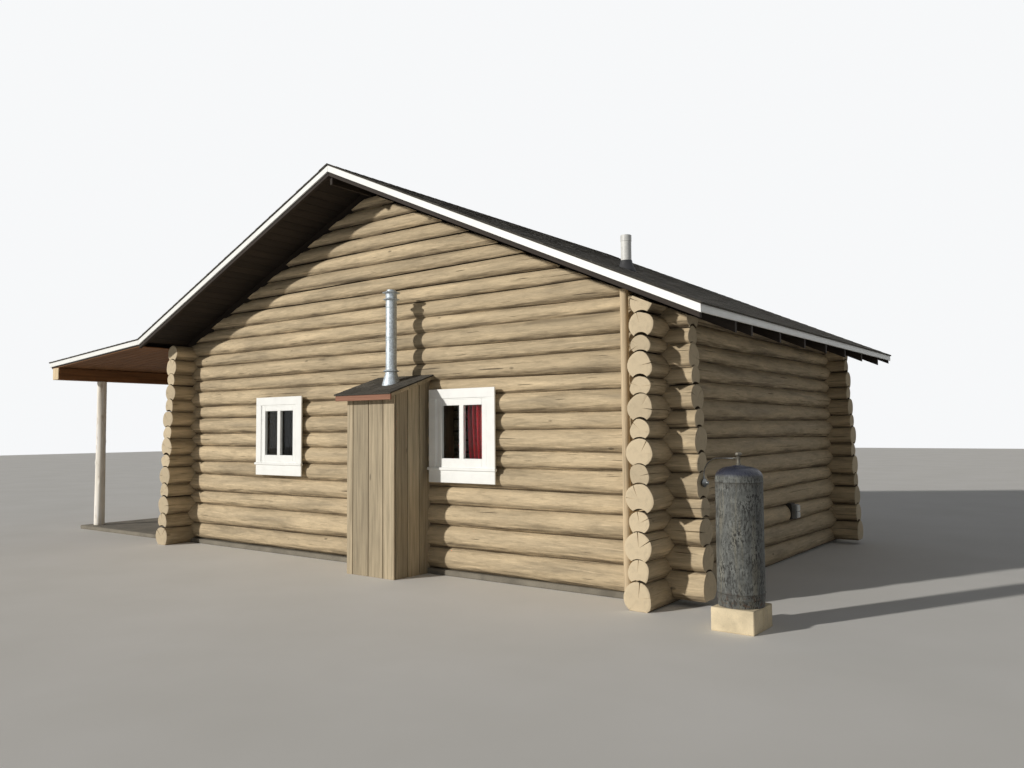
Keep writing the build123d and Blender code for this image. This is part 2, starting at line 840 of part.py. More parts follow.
with BuildPart() as cylinder_valve:
    add(turned(valve_place, valve_stations, valve_sides))
    add(turned(outlet_place, outlet_ends, valve_sides))
export("cylinder_valve", cylinder_valve.part)

# Regulator on the end of a gable log, and the tube from the valve to it
regulator_x = side_x + gable_flyway - flyway_step * regulator_course
regulator_y = -gable_y - regulator_radius / 2
regulator_z = gable_log(regulator_course)[0] + regulator_lift
regulator_middle = regulator_x + regulator_length / 2
inlet_top = regulator_radius + regulator_inlet_height
regulator_place = Plane(origin=(regulator_x, regulator_y, regulator_z), x_dir=(0, 1, 0), z_dir=(1, 0, 0))
regulator_stations = [
    (0, regulator_radius),
    (regulator_length / 2, regulator_radius),
    (regulator_length, valve_radius),
]
inlet_place = upright(regulator_x + regulator_length / 4, regulator_y, regulator_z)
with BuildPart() as gas_regulator:
    add(turned(regulator_place, regulator_stations, regulator_sides))
    add(turned(inlet_place, [(z, regulator_inlet_radius) for z in (0, inlet_top)], valve_sides))
export("gas_regulator", gas_regulator.part)
tube_start = outlet_place.origin - Vector(valve_outlet_length + fit, 0, 0)
tube_end = inlet_place.origin + Vector(0, 0, inlet_top + fit)
across = (tube_start - tube_end).X
tube_route = [
    tube_start,
    tube_start - Vector(tube_lead, 0, 0),
    Vector(tube_end.X + across / 3, tube_end.Y - tube_bow, tube_start.Z - tube_sag),
    tube_end + Vector(0, 0, tube_drop),
    tube_end,
]
runs = [(b - a).length for a, b in zip(tube_route, tube_route[1:])]
turns = [(b - a).get_angle(c - b) for a, b, c in zip(tube_route, tube_route[1:], tube_route[2:])]
tube_radii = [
    0.45 * min(before, after) / tan(radians(turn) / 2) for before, after, turn in zip(runs, runs[1:], turns)
]
with BuildPart() as gas_pigtail:
    with BuildLine():
        FilletPolyline(*tube_route, radius=tube_radii)
    with BuildSketch(Plane(origin=tube_start, z_dir=tube_route[1] - tube_start)):
        RegularPolygon(tube_radius, tube_sides)
    sweep()
export("gas_pigtail", gas_pigtail.part)
print("tube radii", [round(radius) for radius in tube_radii])

# Outlet on a pad that is scribed to the right wall's logs
outlet_z = side_log(outlet_course)[0] + outlet_lift
pad_front = side_x + side_log(outlet_course)[1] + log_taper
pad_width = outlet_width / 2 + pad_margin
pad_height = outlet_height / 2 + pad_margin
pad_block = box(
    pad_front - outlet_depth, pad_front, outlet_y - pad_width, outlet_y + pad_width,
    outlet_z - pad_height, outlet_z + pad_height,
)
near = right_blanks[outlet_course - 1 : outlet_course + 2]
export("outlet_pad", cut(pad_block, *near).solids().sort_by(Axis.X)[-1])
with BuildPart() as outlet_box:
    with BuildSketch(Plane(origin=(pad_front, outlet_y, outlet_z), x_dir=(0, 1, 0), z_dir=(1, 0, 0))):
        RectangleRounded(outlet_width, outlet_height, outlet_corner)
    extrude(amount=outlet_depth)
export("outlet_box", outlet_box.part)
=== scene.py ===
"""A log cabin dressed for rendering: coped and saddle-notched logs, a shingled roof, a porch, a boarded
flue chase, windows and a gas cylinder. Metres, +Z up; the front gable faces -Y and the porch is on the
-X side. The mesh functions work on whole grids: rows run along a piece and columns run round it."""

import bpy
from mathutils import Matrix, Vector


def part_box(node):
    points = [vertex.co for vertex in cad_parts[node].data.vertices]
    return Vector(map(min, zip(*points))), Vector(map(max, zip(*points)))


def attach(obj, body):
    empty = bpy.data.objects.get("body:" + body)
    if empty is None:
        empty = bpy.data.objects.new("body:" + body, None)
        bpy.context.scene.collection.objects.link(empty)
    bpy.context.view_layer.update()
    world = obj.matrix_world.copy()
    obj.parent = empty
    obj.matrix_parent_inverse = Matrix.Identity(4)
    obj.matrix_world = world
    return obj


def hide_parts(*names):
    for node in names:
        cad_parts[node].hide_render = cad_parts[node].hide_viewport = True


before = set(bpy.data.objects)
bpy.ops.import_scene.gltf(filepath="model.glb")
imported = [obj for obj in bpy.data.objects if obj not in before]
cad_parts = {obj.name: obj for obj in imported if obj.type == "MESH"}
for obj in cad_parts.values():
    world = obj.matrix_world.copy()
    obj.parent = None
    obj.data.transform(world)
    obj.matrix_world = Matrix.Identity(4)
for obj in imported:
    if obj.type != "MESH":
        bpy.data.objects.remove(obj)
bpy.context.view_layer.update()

import math

import bmesh
import bpy
import numpy as np
from bpy.props import FloatProperty, FloatVectorProperty, IntProperty, PointerProperty
from mathutils import Matrix, Vector

bl_info = {
    "name": "Log Cabin",
    "version": (1, 0, 0),
    "blender": (4, 5, 0),
    "location": "3D View > Sidebar > Cabin",
    "description": "Builds the pieces and the finishes of a log cabin around its packed model",
    "category": "Add Mesh",
}

# Walls
SIDE_X = 3.815              # the side walls' centre lines
GABLE_Y = 2.5               # the gable walls' centre lines
SIDE_COURSES = 14
GABLE_COURSES = 23
FIRST_COURSE = 0.2216       # height of the lowest course
COURSE_LESS = 0.0033        # how much lower each course is than the one under it
BEDDING = 0.03              # how deep a log sinks into the one below it
SLAB = 0.06
SIDE_END = 3.03             # where the side walls' logs end
STEP_BACK = 0.13            # how much further in the highest of them ends
FLYWAY = 0.44               # how far the lowest gable log runs past its corner
FLYWAY_LESS = 0.0105        # how much less each log above it does
PLATE_RADIUS = 0.128
SEAT = 0.004                # how far a log's underside reaches into the logs under it
ROW_STEP = 0.14             # between a log's rows

# Roof
RIDGE = 4.673
RIGHT_SLOPE = 0.44941
LEFT_SLOPE = 0.42655
PORCH_SLOPE = 0.07098
RIGHT_EAVE = 4.568
BREAK = 4.073               # where the left slope meets the porch roof
PORCH_EDGE = 6.775
ROOF_FRONT = -3.28
ROOF_BACK = 3.14
SHINGLE = 0.012
LAP = 0.045                 # how far a tab reaches under the course above it
LEAST_TAB = 0.02
CAP_REACH = 0.15            # width of a ridge cap down each slope
CAP_LAP = 0.03
DECK = 0.02
RAFTER = 0.14
RAFTERS = [-2.5] + [-2.114 + 0.76 * k for k in range(6)] + [2.5]
TRIM = 0.019
TRIM_WIDTH = 0.089
RAKE_WIDTH = 0.066          # the white boards along the roof's edges
PORCH_RAFTER = 0.064
UNDER_ROOF = SHINGLE + DECK + RAFTER
RIGHT_END = RIGHT_EAVE - TRIM
PORCH_END = PORCH_EDGE - TRIM
SLOPES = {1: RIGHT_SLOPE, -1: LEFT_SLOPE, -2: PORCH_SLOPE}      # right, left and porch roof
VENT = (2.985, -1.65)

# Openings
WINDOW_FACE = -0.1527       # a frame's outer face, from its wall's centre line
SILL = 1.17
WINDOW = (0.76, 0.79)
WINDOW_X = (-1.66, 1.485)
PORCH_WINDOW_Y = 1.45
DOOR = (-0.7, 0.86, 0.225, 1.99)    # middle, width, foot and height
FRAME = 0.032
CASING = 0.105
CASING_THICK = 0.02
CASING_PAST = 0.089         # how far a casing reaches past its opening
STILE = 0.062
BOTTOM_RAIL = 0.084
CURTAIN_Y = -GABLE_Y - 0.06

# Chase
CHASE_LEFT = 0.205
CHASE_RIGHT = 0.955
CHASE_FRONT = -3.1527
CHASE_TOP = 1.99
CHASE_SLOPE = 0.32492
FLUE = (0.635, -2.8797)
FLUE_RADIUS = 0.062
CHASE_BOARD = 0.022
CHASE_GROOVES = (0, 0.135, 0.465, 0.77, 1)

# Gas supply
CYLINDER_RADIUS = 0.1875
TUBE_ROUTE = (
    (4.7397, -3.1, 1.35), (4.6347, -3.1, 1.35), (4.3977, -2.701, 1.335), (4.2268, -2.521, 1.2467),
    (4.2268, -2.521, 1.1617),
)
REGULATOR = (-2.521, 1.1052)            # y and z of its middle

# Stage
EYE = (7.385, -9.58, 1.59)
EYE_TURN = (36.96, 3.17, -0.42)         # yaw, pitch and roll in degrees
LENS = 29.32                            # millimetres, and so is the sensor's width
SENSOR = 36
FLOOR_HALF = 60.0
SUN_WAY = (0.434, 0.848, -0.305)
SUN_ENERGY = 2.95
SUN_SPREAD = math.radians(2)
SUN_COLOUR = (1.0, 0.965, 0.91)
SKY_LIGHT = ((0.93, 0.96, 1.0), 0.15)   # colour and strength
BACKDROP = ((0.93, 0.94, 0.95), 1.0)

MERGE = 4e-6                            # points nearer than this are one
RNG = np.random.default_rng(23)


def shade(red, green, blue):
    """A colour as it is seen, 0 to 255, given as the linear light that a shader takes."""
    seen = np.array([red, green, blue]) / 255
    light = np.where(seen <= 0.04045, seen / 12.92, ((seen + 0.055) / 1.055) ** 2.4)
    return tuple(float(value) for value in light)


# ---------------------------------------------------------------- settings


def length(name, description, default):
    return FloatProperty(name=name, description=description, default=default, unit="LENGTH", precision=4)


def colour(name, description, *seen):
    return FloatVectorProperty(
        name=name, description=description, default=shade(*seen), size=3, min=0, max=1, subtype="COLOR"
    )


class CabinLogSettings(bpy.types.PropertyGroup):
    """Sizes of the walls' logs."""

    swell: length("Butt swell", "How much thicker a butt is than the log's middle", 0.016)
    ripple: length("Ripple", "Height of the unevenness that a drawknife leaves", 0.0032)
    bow: length("Bow", "How far a log wanders off its straight line", 0.006)
    check: length("Check depth", "Depth of the drying check in a log's end", 0.034)
    gape: length("Cope gap", "Widest gap in the cope between two log ends", 0.022)
    seed: IntProperty(name="Seed", description="Picks the logs' own differences", default=5, min=0)


class CabinRoofSettings(bpy.types.PropertyGroup):
    """Sizes of the roof's boards and shingles."""

    exposure: length("Exposure", "How much of a shingle shows", 0.142)
    tab: length("Tab width", "Width of a shingle's tab", 0.305)
    slot: length("Slot", "Gap between two tabs", 0.008)
    lift: length("Butt", "Height of a shingle's lower edge", 0.0048)
    board: length("Board width", "Width of a deck board", 0.14)
    gap: length("Board gap", "Gap between two boards", 0.003)


class CabinColours(bpy.types.PropertyGroup):
    """Colours of the finishes."""

    stain: colour("Stained logs", "Stain on the peeled logs", 199, 180, 148)
    ends: colour("Log ends", "Sawn ends of the logs", 212, 195, 165)
    board: colour("Chase boards", "Stain on the chase's boards", 182, 167, 140)
    white: colour("White paint", "Paint on the trim", 247, 248, 245)
    timber: colour("Roof timber", "Dark stained rafters and decks", 50, 42, 35)
    ceiling: colour("Porch timber", "Brown boards of the porch", 132, 92, 58)
    grit: colour("Shingles", "Mineral grit of the shingles", 92, 88, 81)
    zinc: colour("Zinc", "Galvanised sheet", 198, 207, 213)
    cylinder: colour("Cylinder paint", "Weathered paint on the gas cylinder", 100, 102, 99)
    curtain: colour("Curtain", "Red cotton", 228, 28, 44)


# ---------------------------------------------------------------- meshes


class Shape:
    """Grids of quads that become one mesh, each with its place on the grain, its tone and its painted shade."""

    def __init__(self):
        self.points, self.faces, self.grain, self.tone, self.dirt, self.finish = [], [], [], [], [], []
        self.count = 0

    def take(self, points, faces, grain, tone, dirt, finish):
        self.points.append(points)
        self.faces.append(faces + self.count)
        self.grain.append(grain.reshape(-1, 2))
        self.tone.append(np.broadcast_to(tone, len(points)).astype(float))
        self.dirt.append(dirt)
        self.finish.append(np.broadcast_to(finish, len(faces)))
        self.count += len(points)

    def sheet(self, points, grain, wrap=False, tone=0.5, dirt=0.0, finish=0):
        """Quad (r, c) joins the grid's points (r, c), (r, c+1), (r+1, c+1) and (r+1, c). With wrap the
        last column joins the first, and grain has one column more than points."""
        rows, columns = points.shape[:2]
        r = np.arange(rows - 1)[:, None]
        c = np.arange(columns if wrap else columns - 1)[None, :]
        after = (c + 1) % columns
        corners = [r * columns + c, r * columns + after, (r + 1) * columns + after, (r + 1) * columns + c]
        places = [grain[r, c], grain[r, c + 1], grain[r + 1, c + 1], grain[r + 1, c]]
        spread = np.broadcast_to(dirt, (rows, columns)).ravel().astype(float)
        if np.ndim(finish):
            finish = np.repeat(finish, len(c[0]))
        self.take(
            points.reshape(-1, 3), np.stack(corners, -1).reshape(-1, 4), np.stack(places, 2), tone, spread, finish
        )

    def blocks(self, corners, grain, tone):
        """Closed blocks, each from its eight corners: four below, then the four above them."""
        sides = np.array([(0, 3, 2, 1), (4, 5, 6, 7), (0, 1, 5, 4), (1, 2, 6, 5), (2, 3, 7, 6), (3, 0, 4, 7)])
        number = len(corners)
        faces = (np.arange(number)[:, None, None] * 8 + sides).reshape(-1, 4)
        self.take(corners.reshape(-1, 3), faces, grain[:, sides], np.repeat(tone, 8), np.zeros(number * 8), 0)


def build(name, shape, finishes, nodes=(), sharp=35.0):
    """Makes a shape's mesh an object that stands for the CAD nodes. finishes names its materials, in the
    order of the shape's finish numbers. Points that meet are merged, and the faces turned outward."""
    points, faces = np.concatenate(shape.points), np.concatenate(shape.faces)
    mesh = bpy.data.meshes.new(name)
    mesh.vertices.add(len(points))
    mesh.vertices.foreach_set("co", points.astype(np.float32).ravel())
    mesh.loops.add(faces.size)
    mesh.loops.foreach_set("vertex_index", faces.astype(np.int32).ravel())
    mesh.polygons.add(len(faces))
    mesh.polygons.foreach_set("loop_start", np.arange(0, faces.size, 4, dtype=np.int32))
    mesh.polygons.foreach_set("material_index", np.concatenate(shape.finish).astype(np.int32))
    mesh.update(calc_edges=True)
    grain = mesh.uv_layers.new(name="grain")
    grain.data.foreach_set("uv", np.concatenate(shape.grain).astype(np.float32).ravel())
    for key, values in (("tone", shape.tone), ("dirt", shape.dirt)):
        layer = mesh.attributes.new(key, "FLOAT", "POINT")
        layer.data.foreach_set("value", np.concatenate(values).astype(np.float32))
    solid = bmesh.new()
    solid.from_mesh(mesh)
    bmesh.ops.remove_doubles(solid, verts=solid.verts, dist=MERGE)
    bmesh.ops.recalc_face_normals(solid, faces=solid.faces)
    solid.to_mesh(mesh)
    solid.free()
    mesh.polygons.foreach_set("use_smooth", np.ones(len(mesh.polygons), dtype=bool))
    mesh.set_sharp_from_angle(angle=math.radians(sharp))
    piece = bpy.data.objects.new(name, mesh)
    bpy.context.scene.collection.objects.link(piece)
    for key in finishes.split():
        mesh.materials.append(finish(key))
    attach(piece, "root")
    if nodes:
        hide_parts(*nodes)
    return piece


def keep_node(name, key):
    """Gives a finish to a CAD node that stays as it is."""
    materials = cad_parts[name].data.materials
    materials.clear()
    materials.append(finish(key))


def lay(points, place):
    """Points drawn at the origin, turned and moved to a place given as (origin, three axes)."""
    if place is None:
        return points
    origin, axes = place
    return np.asarray(origin) + points @ np.asarray(axes, float)


def plank(shape, start, end, width, thick, face=(0, 0, 1), corner=0.002, cuts=(None, None), finish=0,
          ends=None, place=None, rows=1):
    """A rectangle with its corners taken off, carried from start to end: a point is the line's point
    plus a times the width's direction plus b times the thickness's. Each end is closed by a smaller ring
    and a middle point, and is sheared to lie square to its cut, the end plane's own direction."""
    start, end, face = (np.array(value, float) for value in (start, end, face))
    reach = np.linalg.norm(end - start)
    along = (end - start) / reach
    across = face - face @ along * along
    across /= np.linalg.norm(across)
    out = np.cross(along, across)
    w, t, c = width / 2, thick / 2, min(corner, width / 4, thick / 4)
    quarter = [(w - c, t), (c - w, t), (-w, t - c), (-w, c - t)]
    ring = np.concatenate([quarter, -np.array(quarter)])
    small = np.clip(ring, (c - w, c - t), (w - c, t - c))
    inner = np.linspace(c, reach - c, rows + 1)
    stations = np.concatenate([[0, 0], inner, [reach, reach]])
    rings = np.stack([ring * 0, small] + [ring] * len(inner) + [small, ring * 0])
    offsets = rings[..., :1] * across + rings[..., 1:] * out
    share = (stations / reach)[:, None]
    slip = np.zeros(rings.shape[:2])
    for cut, weight in zip(cuts, (1 - share, share)):
        if cut is not None:
            cut = np.array(cut, float)
            slip -= weight * (offsets @ cut) / (along @ cut)
    points = start + (stations[:, None] + slip)[..., None] * along + offsets
    step = np.linalg.norm(np.roll(ring, -1, 0) - ring, axis=1)
    round_it = np.concatenate([[0], np.cumsum(step)])
    shift = RNG.uniform(0, 40, 2)
    grain = np.stack(np.broadcast_arrays(stations[:, None] + shift[0], round_it[None, :] + shift[1]), -1).copy()
    closing = np.full(len(stations) - 1, finish)
    if ends is not None:
        closing[[0, 1, -2, -1]] = ends
        for row in (0, 1, -2, -1):
            grain[row, :8] = rings[row] + shift
            grain[row, 8] = grain[row, 0]
    shape.sheet(lay(points, place), grain, wrap=True, tone=RNG.uniform(), finish=closing)


def fill(shape, low, high, along, across, **more):
    """A plank that fills a box: along and across number the axes of its length and its width."""
    middle, size = (low + high) / 2, high - low
    start, end = middle.copy(), middle.copy()
    start[along], end[along] = low[along], high[along]
    plank(shape, start, end, size[across], size[3 - along - across], face=np.eye(3)[across], **more)


def turn(shape, centre, profile, columns, axis=(0, 0, 1), tone=0.5, ripple=None, dirt=0.0):
    """A profile of (radius, distance) turned round an axis: a point is the centre plus distance along the
    axis plus radius times (cos, sin) of the column's angle. A radius of 0 closes an end."""
    axis = np.array(axis, float)
    side = np.array((1.0, 0, 0)) if abs(axis[0]) < 0.9 else np.array((0, 1.0, 0))
    side = side - side @ axis * axis
    side /= np.linalg.norm(side)
    other = np.cross(axis, side)
    radius, distance = np.array(profile, float).T[:, :, None]
    angle = np.linspace(0, 2 * math.pi, columns, endpoint=False)[None, :]
    if ripple is not None:
        radius = radius + ripple(angle, distance) * (radius > 1e-6)
    flat, deep = radius * np.cos(angle), radius * np.sin(angle)
    points = np.array(centre, float) + sum(
        part[..., None] * way for part, way in ((distance, axis), (flat, side), (deep, other))
    )
    step = np.hypot(np.diff(radius[:, 0]), np.diff(distance[:, 0]))
    run = np.concatenate([[0], np.cumsum(step)])[:, None]
    turns = np.linspace(0, 2 * math.pi, columns + 1)[None, :] * radius.max()
    grain = np.stack(np.broadcast_arrays(run, turns), -1)
    shape.sheet(points, grain, wrap=True, tone=tone, dirt=dirt)


def hose(shape, path, radius):
    """A ring carried along a path: a point is the path's point plus radius times (cos, sin) in the plane
    square to the path there. Each end is closed with a middle point."""
    path, columns = np.array(path, float), 12
    tangent = np.gradient(path, axis=0)
    tangent /= np.linalg.norm(tangent, axis=1)[:, None]
    guide = np.array((0.31, 0.22, 0.925))
    side = guide - (tangent @ guide)[:, None] * tangent
    side /= np.linalg.norm(side, axis=1)[:, None]
    other = np.cross(tangent, side)
    angle = np.linspace(0, 2 * math.pi, columns, endpoint=False)
    ring = np.cos(angle)[None, :, None] * side[:, None] + np.sin(angle)[None, :, None] * other[:, None]
    points = path[:, None] + radius * ring
    caps = [np.repeat(path[[k]], columns, 0)[None] for k in (0, -1)]
    points = np.concatenate([caps[0], points, caps[1]])
    run = np.concatenate([[0], np.cumsum(np.linalg.norm(np.diff(path, axis=0), axis=1))])
    run = np.concatenate([run[:1], run, run[-1:]])[:, None]
    turns = np.linspace(0, 2 * math.pi, columns + 1)[None, :] * radius
    shape.sheet(points, np.stack(np.broadcast_arrays(run, turns), -1), wrap=True)


# ---------------------------------------------------------------- finishes


class Paint:
    """A material's node tree, put together one step at a time. base is its colour so far, and a plain
    number that stands for a colour is that share of the tint."""

    def __init__(self, name, tint=(1, 1, 1)):
        self.material = bpy.data.materials.new(name)
        self.material.use_nodes = True
        self.tree = self.material.node_tree
        self.shader = self.tree.nodes["Principled BSDF"]
        self.object = self.node("ShaderNodeTexCoord").outputs["Object"]
        self.grain = self.node("ShaderNodeUVMap", {"uv_map": "grain"}).outputs["UV"]
        self.tint = self.base = tint

    def node(self, kind, settings=None, **inputs):
        made = self.tree.nodes.new(kind)
        for key, value in (settings or {}).items():
            setattr(made, key, value)
        for key, value in inputs.items():
            self.put(made.inputs[key.replace("_", " ")], value)
        return made

    def put(self, socket, value):
        if isinstance(value, bpy.types.NodeSocket):
            self.tree.links.new(value, socket)
        elif hasattr(value, "__len__") and len(value) == 3 and socket.type == "RGBA":
            socket.default_value = (*value, 1)
        else:
            socket.default_value = value

    def colour(self, value):
        """The tint times a number, up to white, or the colour itself."""
        return tuple(min(1.0, part * value) for part in self.tint) if isinstance(value, (int, float)) else value

    def texture(self, kind, vector, scale, shift=(0, 0, 0), **inputs):
        """A texture at one scale, or at three by way of a mapping."""
        if hasattr(scale, "__len__"):
            vector = self.node("ShaderNodeMapping", Vector=vector, Scale=scale, Location=shift).outputs[0]
            scale = 1.0
        return self.node(f"ShaderNodeTex{kind}", Vector=vector, Scale=scale, **inputs).outputs

    def noise(self, vector, scale, detail, rough=0.55, bend=0.0, shift=(0, 0, 0)):
        return self.texture("Noise", vector, scale, shift, Detail=detail, Roughness=rough, Distortion=bend)["Fac"]

    def dots(self, vector, scale, low, high, random=1.0):
        """Soft dots: 1 nearer than low to a scattered point, and 0 further than high."""
        return self.fit(self.texture("Voronoi", vector, scale, Randomness=random)["Distance"], low, high, 1, 0)

    def cells(self, scale):
        """A value of each cell's own on the object, and the distance from the cell's middle."""
        found = self.texture("Voronoi", self.object, scale)
        return self.node("ShaderNodeSeparateColor", Color=found["Color"]).outputs[0], found["Distance"]

    def ramp(self, value, *stops):
        """Colours at given values, from (value, colour) stops."""
        made = self.node("ShaderNodeValToRGB", Fac=value)
        points = made.color_ramp.elements
        while len(points) < len(stops):
            points.new(0.5)
        for point, (place, colour) in zip(points, stops):
            point.position, point.color = place, (*self.colour(colour), 1)
        return made.outputs["Color"]

    def fit(self, value, low, high, to_low=0, to_high=1):
        made = self.node(
            "ShaderNodeMapRange", {"interpolation_type": "SMOOTHSTEP"}, Value=value,
            From_Min=low, From_Max=high, To_Min=to_low, To_Max=to_high,
        )
        return made.outputs["Result"]

    def math(self, kind, *values):
        made = self.node("ShaderNodeMath", {"operation": kind})
        for socket, value in zip(made.inputs, values):
            self.put(socket, value)
        return made.outputs[0]

    def times(self, one, two):
        return self.math("MULTIPLY", one, two)

    def total(self, *parts):
        """The sum of (value, weight) parts."""
        so_far = 0.0
        for value, weight in parts:
            so_far = self.math("MULTIPLY_ADD", value, weight, so_far)
        return so_far

    def coat(self, share, colour, kind="MIX"):
        """Lays a colour over the base, as strongly as its share says."""
        made = self.node("ShaderNodeMix", {"data_type": "RGBA", "blend_type": kind})
        for slot, value in ((0, share), (6, self.base), (7, self.colour(colour))):
            self.put(made.inputs[slot], value)
        self.base = made.outputs[2]

    def read(self, name):
        return self.node("ShaderNodeAttribute", {"attribute_name": name}).outputs["Fac"]

    def tone(self, low, high):
        """Multiplies the base by a grey that each board, log or tab has for itself."""
        self.coat(1.0, self.ramp(self.read("tone"), (0.0, (low,) * 3), (1.0, (high,) * 3)), "MULTIPLY")

    def finish(self, roughness, height=None, distance=0.0, strength=1.0, **inputs):
        """Closes the tree with the shader's inputs, and with a bump where a height is given."""
        if height is not None:
            bump = self.node("ShaderNodeBump", Height=height, Distance=distance, Strength=strength)
            inputs["Normal"] = bump.outputs["Normal"]
        for key, value in {"Base_Color": self.base, "Roughness": roughness, **inputs}.items():
            self.put(self.shader.inputs[key.replace("_", " ")], value)
        return self.material


def log_stain(name, tint):
    """Semi-opaque stain on a peeled log: broad smudges, long streaks and knots, with painted shade along the seams,
    on the lower flanks and in the drying checks.
    """
    paint = Paint(name, tint)
    smudge = paint.noise(paint.grain, (0.9, 7, 1), 5, 0.62, 0.4)
    streak = paint.noise(paint.grain, (1.8, 34, 1), 6, 0.66, 0.25)
    hewn = paint.noise(paint.grain, (4.5, 22, 1), 4, 0.6)
    fine = paint.noise(paint.grain, (8, 230, 1), 3, 0.6)
    crack = paint.fit(paint.noise(paint.grain, (2.2, 62, 1), 0, 0.5, shift=(4, 9, 0)), 0.79, 0.84)
    knot = paint.dots(paint.grain, (1.9, 4.6, 1), 0.04, 0.085, 0.95)
    paint.base = paint.ramp(smudge, (0.32, 0.6), (0.46, 0.98), (0.58, 1.17), (0.74, 1.5))
    paint.coat(paint.fit(streak, 0.54, 0.74, 0, 0.6), 0.5)
    paint.coat(paint.fit(streak, 0.46, 0.3, 0, 0.6), 1.6)
    paint.coat(paint.fit(hewn, 0.5, 0.7, 0, 0.4), 0.6)
    paint.coat(paint.fit(fine, 0.42, 0.75, 0, 0.5), 0.55)
    paint.coat(paint.times(crack, 0.7), shade(64, 50, 37))
    paint.tone(0.82, 1.0)
    paint.coat(paint.times(knot, 0.7), 0.3)
    # Painted shade from the mesh, made uneven by the streaks: dark brown at the seams, on the lower flanks and in the
    # drying checks.
    dirt = paint.total((paint.read("dirt"), 1), (paint.fit(streak, 0.3, 0.7, -0.22, 0.22), 1))
    paint.coat(paint.times(paint.fit(dirt, 0.15, 0.95), 0.88), shade(54, 41, 28))
    height = paint.total((smudge, 0.9), (fine, 0.3), (streak, -0.35), (hewn, 1.1), (knot, 0.5), (crack, -1))
    return paint.finish(paint.fit(smudge, 0.3, 0.8, 0.62, 0.85), height, 0.011, 0.9, Specular_IOR_Level=0.25)


def log_end_stain(name, tint):
    """Sawn and stained end grain: faint growth rings round the pith, saw marks, a darker rim and painted shade in the
    drying checks.
    """
    paint = Paint(name, tint)
    apart = paint.node("ShaderNodeVectorMath", {"operation": "LENGTH"}, Vector=paint.grain).outputs["Value"]
    ring = paint.math("SINE", paint.total((apart, 420.0), (paint.noise(paint.grain, 9, 3), 14.0)))
    saw = paint.noise(paint.grain, (25, 420, 1), 2)
    paint.base = paint.ramp(paint.fit(ring, -1, 1), (0.0, 0.93), (1.0, 1.03))
    paint.coat(paint.fit(paint.noise(paint.grain, 17, 5, 0.65), 0.45, 0.75, 0, 0.5), 0.68)
    paint.coat(paint.fit(saw, 0.5, 0.8, 0, 0.3), 1.2)
    paint.tone(0.8, 1.04)
    # A darker rim, and painted shade in the drying checks, from the mesh.
    paint.coat(paint.fit(paint.read("dirt"), 0.25, 1, 0, 0.9), shade(40, 33, 27))
    return paint.finish(0.85, paint.total((ring, 0.06), (saw, 0.6)), 0.002, 0.5, Specular_IOR_Level=0.2)


def board_stain(name, tint, rough=0.75, knots=True):
    """Stained or painted board: grain along its length, a few knots, paler where it is worn."""
    paint = Paint(name, tint)
    grain = paint.noise(paint.grain, (1.3, 34, 1), 6, 0.6, 0.25)
    fine = paint.noise(paint.grain, (6, 300, 1), 3)
    paint.base = paint.ramp(grain, (0.3, 0.62), (0.5, 1), (0.72, 1.3))
    paint.coat(paint.fit(fine, 0.4, 0.75, 0, 0.4), 0.6)
    paint.tone(0.74, 1.04)
    if knots:
        paint.coat(paint.times(paint.dots(paint.grain, (1.6, 5.5, 1), 0.03, 0.085), 0.75), 0.3)
    return paint.finish(rough, paint.total((grain, 0.6), (fine, 0.4)), 0.0025, 0.6, Specular_IOR_Level=0.3)


def white_paint(name, tint):
    """Brushed white paint on boards, slightly grey where dust lies."""
    paint = Paint(name, tint)
    brush = paint.noise(paint.grain, (7, 210, 1), 3)
    paint.base = paint.ramp(paint.noise(paint.object, 5, 5, 0.6), (0.3, 0.93), (0.55, 1), (0.8, 1.04))
    paint.coat(paint.fit(brush, 0.45, 0.8, 0, 0.25), 0.86)
    return paint.finish(0.45, brush, 0.0012, 0.5, Specular_IOR_Level=0.45)


def shingle_grit(name, tint):
    """Mineral grit: fine coloured grains on tabs of slightly different tone."""
    paint = Paint(name, tint)
    own, apart = paint.cells(420.0)
    paint.base = paint.ramp(own, (0.1, 0.45), (0.5, 1), (0.9, 1.75))
    paint.coat(paint.fit(paint.noise(paint.object, 2.2, 5, 0.6), 0.35, 0.7, 0, 0.5), 0.7)
    paint.coat(paint.fit(paint.noise(paint.object, 36, 5, 0.75), 0.58, 0.68, 0, 0.7), 2.6)
    paint.tone(0.62, 1.0)
    return paint.finish(0.92, apart, 0.0012, 0.6, Specular_IOR_Level=0.2)


def concrete(name, tint):
    """Cast concrete: cement mottling, sand grains, small holes and dusty edges."""
    paint = Paint(name, tint)
    sand = paint.noise(paint.object, 190, 2)
    holes = paint.dots(paint.object, 46, 0.06, 0.13)
    paint.base = paint.ramp(paint.noise(paint.object, 3.5, 7, 0.62), (0.3, 0.68), (0.5, 1), (0.72, 1.28))
    paint.coat(paint.fit(sand, 0.4, 0.7, 0, 0.35), 0.66)
    paint.coat(paint.times(holes, 0.5), 0.4)
    return paint.finish(0.9, paint.total((sand, 0.5), (holes, -1)), 0.002, 0.7, Specular_IOR_Level=0.25)


def galvanised(name, tint):
    """Zinc sheet: large spangles, each with its own shine, dull streaks and water marks."""
    paint = Paint(name, tint)
    own, _ = paint.cells(62.0)
    streak = paint.noise(paint.object, (14, 14, 1.6), 5)
    paint.base = paint.ramp(own, (0.0, 0.72), (1.0, 1.18))
    paint.coat(paint.fit(streak, 0.42, 0.72, 0, 0.55), 0.6)
    return paint.finish(paint.fit(own, 0, 1, 0.4, 0.6), streak, 0.0015, 0.3, Metallic=0.45)


